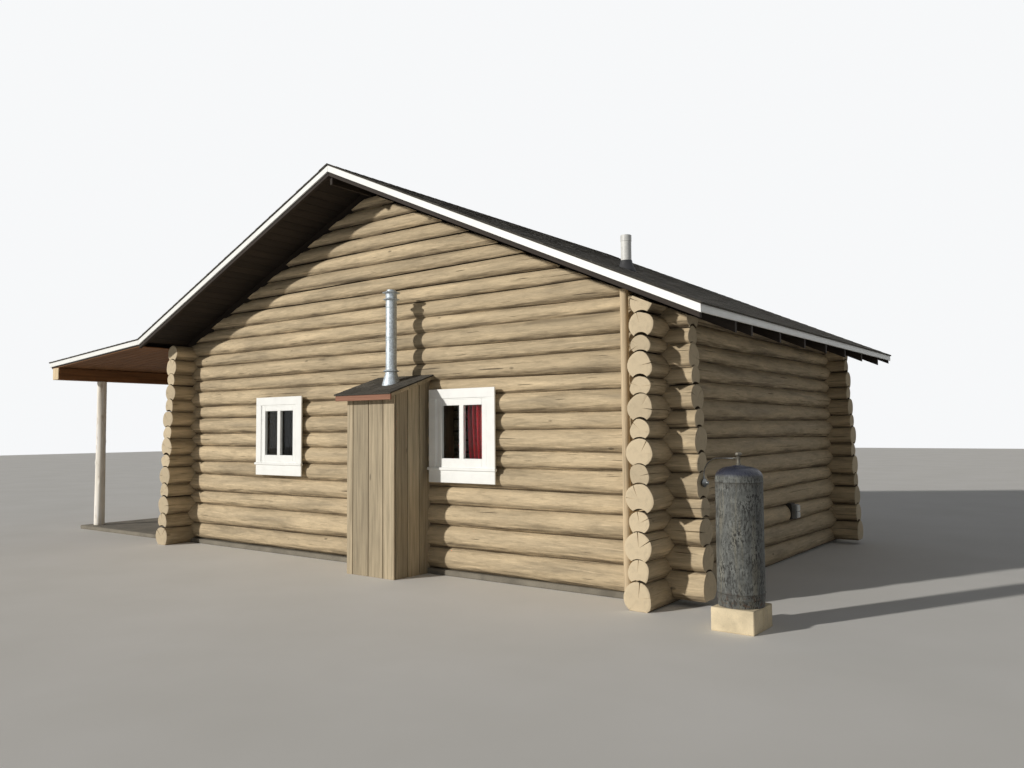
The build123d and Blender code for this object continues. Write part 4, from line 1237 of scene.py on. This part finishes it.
class CABIN_OT_white_boards(bpy.types.Operator):
    """Builds the white boards along the roof's edges"""

    bl_idname = "cabin.white_boards"
    bl_label = "White boards"

    def execute(self, context):
        rakes, fascias = Shape(), Shape()
        for y in (ROOF_FRONT, ROOF_BACK - TRIM):
            slope_board(rakes, 1, 0.0005, RIGHT_EAVE, SHINGLE, RAKE_WIDTH, y, TRIM, rows=3)
            slope_board(rakes, -1, 0.0005, BREAK - 0.001, SHINGLE, RAKE_WIDTH, y, TRIM, rows=3)
            slope_board(rakes, -2, BREAK, PORCH_EDGE, SHINGLE, RAKE_WIDTH, y, TRIM, rows=2)
        for side, edge in ((1, RIGHT_EAVE), (-2, PORCH_EDGE)):
            start, end, _ = slope_line(side, edge - TRIM, edge, SHINGLE + RAKE_WIDTH / 2, 0)
            x, z = (start[0] + end[0]) / 2, (start[2] + end[2]) / 2
            plank(fascias, (x, ROOF_FRONT + TRIM, z), (x, ROOF_BACK - TRIM, z), RAKE_WIDTH, TRIM, rows=3)
        build("white_rake_boards", rakes, "white_paint", ["rake_boards"])
        build("white_fascia_boards", fascias, "white_paint", ["fascia_boards"])
        return {"FINISHED"}


# ---------------------------------------------------------------- porch


class CABIN_OT_porch(bpy.types.Operator):
    """Builds the porch's beam, peeled posts and slabs"""

    bl_idname = "cabin.porch"
    bl_label = "Porch"

    def execute(self, context):
        beam = Shape()
        low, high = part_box("porch_beam")
        x = (low.x + high.x) / 2
        plank(
            beam, (x, low.y, (low.z + high.z) / 2 - 0.002), (x, high.y, (low.z + high.z) / 2 - 0.002),
            high.z - low.z - 0.008, 0.19, corner=0.006, ends=1, rows=4,
        )
        build("porch_beam_timber", beam, "porch_timber beam_end", ["porch_beam"])
        posts = Shape()
        for number, y in enumerate((-GABLE_Y, 0, GABLE_Y)):
            heights = np.linspace(SLAB + 0.006, low.z - 0.004, 90)
            radius = 0.081 - 0.0075 * heights / low.z
            knots = (
                (0.55 + number, 1.84), (0.6 + number, 1.45), (5.8, 0.78 + 0.1 * number), (3.2, 0.45), (4.6, 1.1)
            )

            def ripple(angle, z):
                """Slow waves round and along the post, and a low bump at each knot."""
                made = 0.0025 * np.sin(2 * angle + 1.7 * z + number) + 0.0015 * np.sin(5 * angle - 2.3 * z)
                for place, level in knots:
                    apart = np.angle(np.exp(1j * (angle - place)))
                    made = made + 0.013 * np.exp(-((apart / 0.3) ** 2) - ((z - level) / 0.035) ** 2)
                return made

            foot, head = (radius[0] - 0.006, SLAB), (radius[-1] - 0.004, low.z)
            profile = [(0, SLAB), foot, *zip(radius, heights), head, (0, low.z)]
            turn(posts, (x, y, 0), profile, 40, ripple=ripple, tone=0.4 + 0.2 * number)
        build("peeled_porch_posts", posts, "peeled_pole", ["porch_posts"])
        for name in ("floor_slab", "porch_slab"):
            slab = Shape()
            fill(slab, *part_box(name), 1, 0, corner=0.009, rows=6)
            build(f"{name}_cast", slab, "slab_concrete", [name])
        return {"FINISHED"}


# ---------------------------------------------------------------- windows and door


def in_front(x):
    """A place on the front gable, for what is drawn looking out along -Y."""
    return (x, -GABLE_Y, SILL), np.eye(3)


def on_porch_wall(y, z):
    """A place on the porch wall, for what is drawn looking out along -Y."""
    return (-SIDE_X, y, z), [(0, -1, 0), (1, 0, 0), (0, 0, 1)]


def board(shape, place, start, end, width, y_from, y_to, corner=0.003, **more):
    """An upright or level board in a wall, from (x, z) to (x, z) and between two depths."""
    y = (y_from + y_to) / 2
    face = (1, 0, 0) if start[0] == end[0] else (0, 0, 1)
    plank(
        shape, (start[0], y, start[1]), (end[0], y, end[1]), width, abs(y_to - y_from), face=face,
        corner=corner, place=place, **more,
    )


def ring_of_boards(shape, place, x_half, low, high, width, y_from, y_to, bottom=True, **more):
    """Four boards round an opening, whose outer edges stand at x_half, low and high."""
    half = width / 2
    foot = low + (width if bottom else 0)
    for x in (half - x_half, x_half - half):
        board(shape, place, (x, foot), (x, high - width), width, y_from, y_to, **more)
    for z in [high - half] + ([low + half] if bottom else []):
        board(shape, place, (-x_half, z), (x_half, z), width, y_from, y_to, **more)


class CABIN_OT_windows(bpy.types.Operator):
    """Builds the windows' casings, frames, sashes and glass, and the door's casing and frame"""

    bl_idname = "cabin.windows"
    bl_label = "Windows"

    def execute(self, context):
        frames, casings, sashes = Shape(), Shape(), Shape()
        face, out = WINDOW_FACE, WINDOW_FACE - CASING_THICK
        half, tall = WINDOW[0] / 2, WINDOW[1]
        for place in (in_front(WINDOW_X[0]), in_front(WINDOW_X[1]), on_porch_wall(PORCH_WINDOW_Y, SILL)):
            ring_of_boards(frames, place, half, 0, tall, FRAME, face, face + 0.05)
            ring_of_boards(frames, place, half, 0, tall, FRAME, face + 0.05, 0.12, finish=1)
            wide = half + CASING_PAST
            for x in (CASING / 2 - wide, wide - CASING / 2):
                board(casings, place, (x, 0.016), (x, tall - 0.016), CASING, out, face)
            for z, high in ((tall + 0.0365, CASING), (-0.0815, 0.135)):
                board(casings, place, (-wide, z), (wide, z), high, out, face)
            sill = wide + 0.013
            board(casings, place, (-sill, 0.001), (sill, 0.001), 0.03, out - 0.016, face, corner=0.004)
            ring_of_boards(frames, place, half - 0.0155, 0.0155, tall - 0.0155, 0.0165, face - 0.011, face + 0.002)
            side, low, high = half - FRAME, FRAME, tall - FRAME
            depths = face - 0.01, face + 0.03
            for x in (STILE / 2 - side, side - STILE / 2):
                board(sashes, place, (x, low), (x, high), STILE, *depths)
            for z, rail in ((low + BOTTOM_RAIL / 2, BOTTOM_RAIL), (high - STILE / 2, STILE)):
                board(sashes, place, (STILE - side, z), (side - STILE, z), rail, *depths)
            board(sashes, place, (0, low + BOTTOM_RAIL), (0, high - STILE), STILE, *depths)
        middle, wide, low, tall = DOOR
        place = on_porch_wall(middle, low)
        ring_of_boards(frames, place, wide / 2, 0, tall, FRAME, face, 0.12)
        ring_of_boards(
            casings, place, wide / 2 + CASING_PAST, 0, tall + CASING_PAST, CASING, out, face, bottom=False
        )
        build("opening_frames", frames, "white_paint door_brown", ["window_and_door_frames"])
        build("opening_casings", casings, "white_paint", ["window_and_door_casings"])
        build("window_sash_set", sashes, "white_paint", ["window_sashes"])
        keep_node("window_glass", "pane")
        return {"FINISHED"}


class CABIN_OT_curtain(bpy.types.Operator):
    """Hangs the red curtain inside the right window's right pane"""

    bl_idname = "cabin.curtain"
    bl_label = "Curtain"

    def execute(self, context):
        shape = Shape()
        s = np.linspace(0, 1, 121)[None, :]
        t = np.linspace(0, 1, 40)[:, None]
        top, tall = SILL + 0.745, 0.66
        left = WINDOW_X[1] - 0.015 + 0.04 * t**1.6
        wide = WINDOW_X[1] + 0.33 - left
        sway = 0.02 + 0.012 * t
        turned = 11 * math.pi * s + 0.8 * np.sin(3 * t)
        x = left + wide * (s + 0.01 * np.sin(8 * math.pi * s + 2 * t)) + 0.006 * t * np.sin(5 * s)
        y = CURTAIN_Y + sway * np.sin(turned) + 0 * t
        z = top - tall * t + 0 * s
        points = np.stack(np.broadcast_arrays(x, y, z), -1)
        run = np.linalg.norm(np.diff(points[20], axis=0), axis=1)
        cut = np.concatenate([[0], np.cumsum(run)])
        grain = np.stack(np.broadcast_arrays(cut[None, :], tall * t), -1)
        # Painted shade: darker in the fold valleys and towards the curtain's left edge.
        shape.sheet(points, grain, dirt=np.clip(0.7 + 0.5 * np.sin(turned + 0.5) - 0.75 * s, 0, 1))
        cloth = build("red_curtain", shape, "cotton", sharp=80)
        rod = Shape()
        hose(rod, [(WINDOW_X[1] + share, CURTAIN_Y, top) for share in (-0.345, 0, 0.345)], 0.004)
        build("curtain_rod", rod, "brass")
        return {"FINISHED"}


class CABIN_OT_door(bpy.types.Operator):
    """Builds the door's boards and knob"""

    bl_idname = "cabin.door"
    bl_label = "Door"

    def execute(self, context):
        middle, wide, low, tall = DOOR
        place = on_porch_wall(middle, low)
        clear = FRAME + 0.0003
        half = wide / 2 - clear
        face = WINDOW_FACE + 0.012
        door = Shape()
        step = 2 * half / 6
        for k in range(6):
            x = -half + (k + 0.5) * step
            board(door, place, (x, clear), (x, tall - clear), step - 0.003, face, face + 0.045, corner=0.004)
        build("door_boards", door, "door_brown", ["door_panel"])
        knob = Shape()
        centre = lay(np.array([[half - 0.07, face, 0.95]]), place)[0]
        profile = [
            (0, -0.004), (0.028, 0), (0.028, 0.004), (0.026, 0.006), (0.011, 0.008), (0.009, 0.014), (0.011, 0.02),
            (0.02, 0.023), (0.026, 0.03), (0.028, 0.036), (0.025, 0.042), (0.016, 0.0455), (0, 0.046),
        ]
        turn(knob, centre, profile, 32, axis=(-1, 0, 0))
        build("round_door_knob", knob, "brass", ["door_knob"])
        return {"FINISHED"}


# ---------------------------------------------------------------- chase and flue


def chase_line(y, above=0.0):
    """Height of the underside of the chase's roof at a place, and of layers above it."""
    return CHASE_TOP + (y - CHASE_FRONT) * CHASE_SLOPE + above * math.hypot(1, CHASE_SLOPE)


class CABIN_OT_chase(bpy.types.Operator):
    """Builds the boarded chase, its little roof and its fascia"""

    bl_idname = "cabin.chase"
    bl_label = "Chase"

    def execute(self, context):
        settings = context.scene.cabin_roof
        box = Shape()
        thick, back, gap = CHASE_BOARD, -GABLE_Y - 0.075, 0.009
        wide = CHASE_RIGHT - CHASE_LEFT

        def upright(x, y, width, thick, face, **more):
            """A board of the box, cut along its roof."""
            cuts = ((0, 0, 1), (0, -CHASE_SLOPE, 1))
            plank(box, (x, y, 0.0), (x, y, chase_line(y)), width, thick, face=face, cuts=cuts, **more)

        for a, b in zip(CHASE_GROOVES, CHASE_GROOVES[1:]):
            x = CHASE_LEFT + wide * (a + b) / 2
            upright(x, CHASE_FRONT + thick / 2, wide * (b - a) - gap, thick, (1, 0, 0), corner=0.003, rows=3)
        edges = np.linspace(CHASE_FRONT + thick + 0.001, back, 4)
        for x in (CHASE_LEFT + thick / 2, CHASE_RIGHT - thick / 2):
            for a, b in zip(edges, edges[1:]):
                upright(x, (a + b) / 2, b - a - gap, thick, (0, 1, 0), corner=0.003, rows=3)
        # Backing boards behind the front and side boards, in the dark roof_timber finish as painted shade seen
        # through the grooves.
        shade_backing, inner = 0.006, CHASE_FRONT + thick + 0.004
        middle = (CHASE_LEFT + CHASE_RIGHT) / 2
        upright(middle, inner, wide - 2 * thick - 0.004, shade_backing, (1, 0, 0), corner=0.001, finish=1)
        for x in (CHASE_LEFT + thick + 0.003, CHASE_RIGHT - thick - 0.003):
            y = (inner + back) / 2 + 0.004
            upright(x, y, back - inner - 0.012, shade_backing, (0, 1, 0), corner=0.001, finish=1)
        build("chase_boards", box, "board_stain roof_timber", ["chase_box"])
        deck, fascia, tabs = Shape(), Shape(), Shape()
        left, right = CHASE_LEFT - 0.06, CHASE_RIGHT + 0.06
        front, stop = CHASE_FRONT - 0.1, -GABLE_Y - 0.08
        stretch = math.hypot(1, CHASE_SLOPE)
        down = np.array((0, -1, -CHASE_SLOPE)) / stretch
        out = np.array((0, -CHASE_SLOPE, 1)) / stretch
        step = (stop - front) / 5
        for k in range(5):
            y = front + (k + 0.5) * step
            z = chase_line(y, 0.019)
            plank(deck, (left, y, z), (right, y, z), step * stretch - 0.002, 0.038, face=-down, corner=0.002)
        build("chase_roof_boards", deck, "board_stain", ["chase_deck"])
        fill(fascia, *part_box("chase_fascia"), 0, 2, corner=0.002, rows=2)
        build("chase_fascia_board", fascia, "fascia_brown", ["chase_fascia"])
        edge = front - TRIM - SHINGLE
        fall = (stop - edge) * stretch
        origin = np.array((left - SHINGLE, edge, chase_line(edge, 0.05)))
        hole = ((FLUE[0] - left + SHINGLE, (FLUE[1] - edge) * stretch), -0.02)
        tab_courses(tabs, origin, down, (1, 0, 0), out, fall, right - left + 2 * SHINGLE, settings, hole)
        build("chase_shingle_tabs", tabs, "shingle_grit", sharp=20)
        keep_node("chase_shingles", "shingle_grit")
        return {"FINISHED"}


class CABIN_OT_flue(bpy.types.Operator):
    """Builds the flue pipe with its seams, flashing, storm collar and cap"""

    bl_idname = "cabin.flue"
    bl_label = "Flue"

    def execute(self, context):
        pipe, cap, cone = Shape(), Shape(), Shape()
        low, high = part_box("flue_pipe")
        r = FLUE_RADIUS
        rings = [(0, low.z), (r, low.z)]
        for z in (2.62, 2.645, 2.99):
            bead = r + 0.0035
            rings += [(r, z - 0.007), (bead, z - 0.003), (bead, z + 0.003), (r, z + 0.007)]
        rings += [(r, high.z), (0, high.z)]
        turn(pipe, (*FLUE, 0), rings, 56)
        build("flue_pipe_zinc", pipe, "zinc", ["flue_pipe"])
        low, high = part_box("flue_cap")
        profile = [(0, -0.122), (0.065, -0.122)]
        for z, wide in ((-0.11, 0.095), (-0.034, 0.102)):
            profile += [
                (0.066, z - 0.006), (wide - 0.002, z - 0.002), (wide, z + 0.001), (wide - 0.002, z + 0.004),
                (0.069, z + 0.011), (0.064, z + 0.017),
            ]
        profile += [(0.051, -0.017), (0.051, 0), (0.046, 0), (0.046, -0.05), (0, -0.05)]
        turn(cap, (*FLUE, high.z), profile, 56)
        build("flue_cap_zinc", cap, "zinc", ["flue_cap"])
        base = float(chase_line(FLUE[1], 0.05))
        inside = FLUE_RADIUS + 0.0005
        profile = [
            (inside, 0.13), (0.0655, 0.13), (0.0655, 0.12), (0.071, 0.1), (0.104, -0.02), (0.104, -0.045),
            (inside, -0.045), (inside, 0.13),
        ]
        turn(cone, (*FLUE, base), profile, 48)
        profile = [
            (inside, 0), (0.09, -0.004), (0.091, -0.002), (0.09, 0), (0.067, 0.017), (0.0655, 0.026),
            (inside, 0.026), (inside, 0),
        ]
        turn(cone, (*FLUE, base + 0.135), profile, 48)
        build("flue_flashing_zinc", cone, "zinc", ["flue_flashings"], sharp=30)
        return {"FINISHED"}


class CABIN_OT_vent(bpy.types.Operator):
    """Builds the vent pipe and its rubber boot on the right slope"""

    bl_idname = "cabin.vent"
    bl_label = "Vent"

    def execute(self, context):
        pipe, boot = Shape(), Shape()
        low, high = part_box("vent_pipe")
        x, y, r = (low.x + high.x) / 2, (low.y + high.y) / 2, 0.057
        bore, lip = r - 0.006, r + 0.003
        profile = [
            (bore, low.z), (r, low.z), (r, high.z - 0.07), (lip, high.z - 0.068), (lip, high.z - 0.003), (r, high.z),
            (bore, high.z), (bore, high.z - 0.1), (bore, low.z),
        ]
        turn(pipe, (x, y, 0), profile, 48)
        build("vent_pipe_white", pipe, "vent_white", ["vent_pipe"])
        profile = [
            (r + 0.0005, -0.08), (0.1, -0.05), (0.105, -0.03), (0.1, -0.01), (0.078, 0.03), (0.07, 0.05),
            (0.066, 0.075), (0.063, 0.09), (r + 0.0005, 0.09), (r + 0.0005, -0.08),
        ]
        turn(boot, (x, y, float(roof_top(np.array(x)))), profile, 48)
        build("vent_boot_rubber", boot, "boot_rubber", ["vent_boot"], sharp=50)
        return {"FINISHED"}


# ---------------------------------------------------------------- gas and outlet


class CABIN_OT_gas(bpy.types.Operator):
    """Builds the gas cylinder on its block, with its valve, tube and regulator"""

    bl_idname = "cabin.gas"
    bl_label = "Gas supply"

    def execute(self, context):
        low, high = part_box("cylinder_block")
        middle = (low + high) / 2
        block = Shape()
        half = 0.0985       # of each block's width
        inset = Vector((0.024, 0, 0))
        for near, far in ((low.y, low.y + 2 * half), (high.y - 2 * half, high.y)):
            ends = Vector((low.x, near, low.z)) + inset, Vector((high.x, far, high.z)) - inset
            fill(block, *ends, 0, 1, corner=0.006, rows=4)
        build("cast_cylinder_block", block, "block_concrete", ["cylinder_block"])
        base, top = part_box("gas_cylinder")
        centre = (middle.x, middle.y, 0)
        R, z = CYLINDER_RADIUS, base.z
        dome = np.linspace(0, 1.43, 16)
        shoulder = top.z - 0.105
        profile = [
            (0, z + 0.03), (R - 0.012, z + 0.03), (R - 0.012, z), (R - 0.006, z), (R - 0.006, z + 0.05),
            (R - 0.001, z + 0.058), (R, z + 0.066),
        ]
        welds = (z + 0.11, shoulder - 0.025)
        for weld in welds:
            profile += [(R, weld - 0.012), (R, weld - 0.006), (R + 0.004, weld), (R, weld + 0.006)]
        profile += [(R * math.cos(a) ** 0.64, shoulder + 0.098 * math.sin(a) ** 0.9) for a in dome]
        neck = profile[-1][1] + 0.006
        profile += [(0.045, neck), (0.042, top.z - 0.01), (0.034, top.z - 0.004), (0.03, top.z), (0, top.z)]
        cylinder = Shape()

        def dents(angle, height):
            """A few shallow dents round the shell."""
            made = 0 * angle * height
            for place, level, wide in ((0.6, 0.7, 0.09), (3.6, 0.95, 0.07), (4.9, 0.5, 0.1)):
                apart = np.angle(np.exp(1j * (angle - place))) * R
                made = made - 0.0022 * np.exp(-(apart**2 + (height - level) ** 2) / wide**2)
            return made

        fine = []
        for (r0, z0), (r1, z1) in zip(profile, profile[1:]):
            parts = max(1, int(abs(z1 - z0) / 0.04))
            fine += [(r0 + (r1 - r0) * k / parts, z0 + (z1 - z0) * k / parts) for k in range(parts)]
        fine.append(profile[-1])
        levels = np.array([height for _, height in fine])[:, None]
        # Painted shade: a dark line just under each weld bead.
        ring = sum(np.exp(-(((levels - weld + 0.007) / 0.007) ** 2)) for weld in welds)
        turn(cylinder, centre, fine, 72, ripple=dents, dirt=ring)
        build("gas_cylinder_shell", cylinder, "cylinder_paint", ["gas_cylinder"], sharp=40)
        valve = Shape()
        foot = (middle.x, middle.y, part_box("cylinder_valve")[0].z)
        profile = [
            (0, 0), (0.02, 0), (0.02, 0.012), (0.015, 0.016), (0.014, 0.066), (0.016, 0.07), (0.008, 0.074),
            (0.008, 0.078), (0, 0.078),
        ]
        turn(valve, foot, profile, 24)

        def scallop(angle, z):
            """Eight grips round the hand wheel."""
            return 0.0012 * np.sin(8 * angle) * (np.abs(z - 0.09) < 0.0115)

        profile = [
            (0, 0.076), (0.012, 0.076), (0.023, 0.079), (0.0255, 0.084), (0.0255, 0.096), (0.022, 0.102),
            (0.01, 0.105), (0, 0.105),
        ]
        turn(valve, foot, profile, 48, ripple=scallop)
        profile = [(0, 0), (0.009, 0.002), (0.009, 0.03), (0.011, 0.032), (0.011, 0.045), (0, 0.045)]
        turn(valve, (foot[0], foot[1], foot[2] + 0.055), profile, 6, axis=(-1, 0, 0))
        build("cylinder_valve_brass", valve, "dull_valve", ["cylinder_valve"])
        tube = Shape()
        hose(tube, smooth_line(np.array(TUBE_ROUTE), 60), 0.005)
        build("gas_pigtail_tube", tube, "grey_metal", ["gas_pigtail"], sharp=60)
        regulator = Shape()
        low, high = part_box("gas_regulator")
        profile = [
            (0, 0), (0.03, 0), (0.034, 0.004), (0.041, 0.013), (0.042, 0.015), (0.042, 0.019), (0.041, 0.021),
            (0.036, 0.03), (0.02, 0.038), (0.016, 0.04), (0.016, 0.053), (0.014, 0.055), (0, 0.055),
        ]
        turn(regulator, (low.x, *REGULATOR), profile, 40, axis=(1, 0, 0))
        profile = [
            (0, 1.11), (0.009, 1.11), (0.009, high.z - 0.012), (0.0085, high.z - 0.01), (0.0085, high.z), (0, high.z),
        ]
        turn(regulator, (low.x + 0.01375, REGULATOR[0], 0), profile, 24)
        build("gas_regulator_body", regulator, "grey_metal", ["gas_regulator"])
        return {"FINISHED"}


def smooth_line(route, count):
    """A quadratic B-spline that starts and ends on the route's own ends: between the middles of two runs
    a point is the run's corner weighted with the two middles as in a parabola."""
    middles = (route[:-1] + route[1:]) / 2
    stops = np.concatenate([middles[1:-1], route[-1:]])
    starts = np.concatenate([route[:1], middles[1:-1]])
    corners = route[1:-1]
    t = np.linspace(0, 1, count // len(corners), endpoint=False)[:, None]
    parts = [(1 - t) ** 2 * a + 2 * t * (1 - t) * b + t**2 * c for a, b, c in zip(starts, corners, stops)]
    return np.concatenate([*parts, route[-1:]])


class CABIN_OT_outlet(bpy.types.Operator):
    """Builds the outlet box on its pad on the right wall"""

    bl_idname = "cabin.outlet"
    bl_label = "Outlet"

    def execute(self, context):
        pad, box = Shape(), Shape()
        fill(pad, *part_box("outlet_pad"), 2, 1, corner=0.003)
        build("outlet_pad_board", pad, "dark_pad", ["outlet_pad"])
        low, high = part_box("outlet_box")
        middle = (low + high) / 2
        plate = high.x - 0.016
        fill(box, low, Vector((plate, high.y, high.z)), 0, 2, corner=0.009)
        for z in (middle.z - 0.04, middle.z + 0.04):
            ends = (plate - 0.001, middle.y, z), (high.x, middle.y, z)
            plank(box, *ends, 0.07, 0.096, corner=0.006, finish=1)
        screw = [(0, 0), (0.0045, 0), (0.0045, 0.002), (0.002, 0.0035), (0, 0.0035)]
        for y in (middle.y - 0.05, middle.y + 0.05):
            turn(box, (plate, y, middle.z), screw, 12, axis=(1, 0, 0))
        build("outlet_box_cover", box, "grey_plastic vent_white", ["outlet_box"])
        return {"FINISHED"}


# ---------------------------------------------------------------- stage


class CABIN_OT_camera(bpy.types.Operator):
    """Sets the camera where the photograph was taken"""

    bl_idname = "cabin.camera"
    bl_label = "Camera"

    def execute(self, context):
        lens = bpy.data.cameras.new("camera")
        lens.lens, lens.sensor_width = LENS, SENSOR
        camera = bpy.data.objects.new("camera", lens)
        context.scene.collection.objects.link(camera)
        yaw, pitch, roll = (math.radians(value) for value in EYE_TURN)
        turned = Matrix.Rotation(yaw, 4, "Z") @ Matrix.Rotation(math.pi / 2 + pitch, 4, "X")
        camera.matrix_world = Matrix.Translation(EYE) @ turned @ Matrix.Rotation(roll, 4, "Z")
        context.scene.camera = camera
        return {"FINISHED"}


class CABIN_OT_stage(bpy.types.Operator):
    """Sets the pale floor, the soft sun lamp and the plain background"""

    bl_idname = "cabin.stage"
    bl_label = "Stage"

    def execute(self, context):
        scene = context.scene
        scene.view_settings.view_transform = "Standard"
        mesh = bpy.data.meshes.new("floor")
        corners = [(x * FLOOR_HALF, y * FLOOR_HALF, 0) for x, y in ((-1, -1), (1, -1), (1, 1), (-1, 1))]
        mesh.from_pydata(corners, [], [(0, 1, 2, 3)])
        floor = bpy.data.objects.new("floor", mesh)
        scene.collection.objects.link(floor)
        paint = Paint("pale_floor")
        cloud = paint.noise(paint.object, 0.7, 3)
        paint.base = paint.ramp(cloud, (0.3, shade(228, 226, 221)), (0.7, shade(234, 232, 228)))
        mesh.materials.append(paint.finish(0.9, Specular_IOR_Level=0.1))
        world = bpy.data.worlds.new("studio")
        scene.world = world
        world.use_nodes = True
        nodes, links = world.node_tree.nodes, world.node_tree.links
        nodes.clear()
        path = nodes.new("ShaderNodeLightPath").outputs
        seen = path["Is Camera Ray"]
        for ray in ("Is Glossy Ray", "Is Transmission Ray"):
            either = nodes.new("ShaderNodeMath")
            either.operation = "MAXIMUM"
            links.new(seen, either.inputs[0])
            links.new(path[ray], either.inputs[1])
            seen = either.outputs[0]
        choose, out = nodes.new("ShaderNodeMixShader"), nodes.new("ShaderNodeOutputWorld")
        links.new(seen, choose.inputs[0])
        for slot, (colour_of, strength) in enumerate((SKY_LIGHT, BACKDROP), 1):
            side = nodes.new("ShaderNodeBackground")
            side.inputs[0].default_value = (*colour_of, 1)
            side.inputs[1].default_value = strength
            links.new(side.outputs[0], choose.inputs[slot])
        links.new(choose.outputs[0], out.inputs[0])
        lamp = bpy.data.lights.new("soft_sun", "SUN")
        lamp.energy, lamp.angle, lamp.color = SUN_ENERGY, SUN_SPREAD, SUN_COLOUR
        sun = bpy.data.objects.new("soft_sun", lamp)
        sun.rotation_mode = "QUATERNION"
        sun.rotation_quaternion = Vector(SUN_WAY).to_track_quat("-Z", "Y")
        scene.collection.objects.link(sun)
        return {"FINISHED"}


PIECES = (
    CABIN_OT_camera,
    CABIN_OT_stage,
    CABIN_OT_logs,
    CABIN_OT_corner_pole,
    CABIN_OT_roof_frame,
    CABIN_OT_roof_boards,
    CABIN_OT_shingles,
    CABIN_OT_white_boards,
    CABIN_OT_porch,
    CABIN_OT_windows,
    CABIN_OT_curtain,
    CABIN_OT_door,
    CABIN_OT_chase,
    CABIN_OT_flue,
    CABIN_OT_vent,
    CABIN_OT_gas,
    CABIN_OT_outlet,
)


class CABIN_PT_pieces(bpy.types.Panel):
    """Lists the cabin's pieces and settings in the sidebar"""

    bl_label = "Log Cabin"
    bl_idname = "CABIN_PT_pieces"
    bl_space_type = "VIEW_3D"
    bl_region_type = "UI"
    bl_category = "Cabin"

    def draw(self, context):
        scene = context.scene
        for group in (scene.cabin_logs, scene.cabin_roof, scene.cabin_colours):
            for key in group.bl_rna.properties.keys():
                if key not in ("name", "rna_type"):
                    self.layout.prop(group, key)
        for piece in PIECES:
            self.layout.operator(piece.bl_idname)


CLASSES = (CabinLogSettings, CabinRoofSettings, CabinColours, *PIECES, CABIN_PT_pieces)


def register():
    for kind in CLASSES:
        bpy.utils.register_class(kind)
    bpy.types.Scene.cabin_logs = PointerProperty(type=CabinLogSettings)
    bpy.types.Scene.cabin_roof = PointerProperty(type=CabinRoofSettings)
    bpy.types.Scene.cabin_colours = PointerProperty(type=CabinColours)


def unregister():
    for key in ("cabin_logs", "cabin_roof", "cabin_colours"):
        delattr(bpy.types.Scene, key)
    for kind in reversed(CLASSES):
        bpy.utils.unregister_class(kind)


def main():
    register()
    for piece in PIECES:
        group, name = piece.bl_idname.split(".")
        getattr(getattr(bpy.ops, group), name)()


if __name__ == "__main__":
    main()
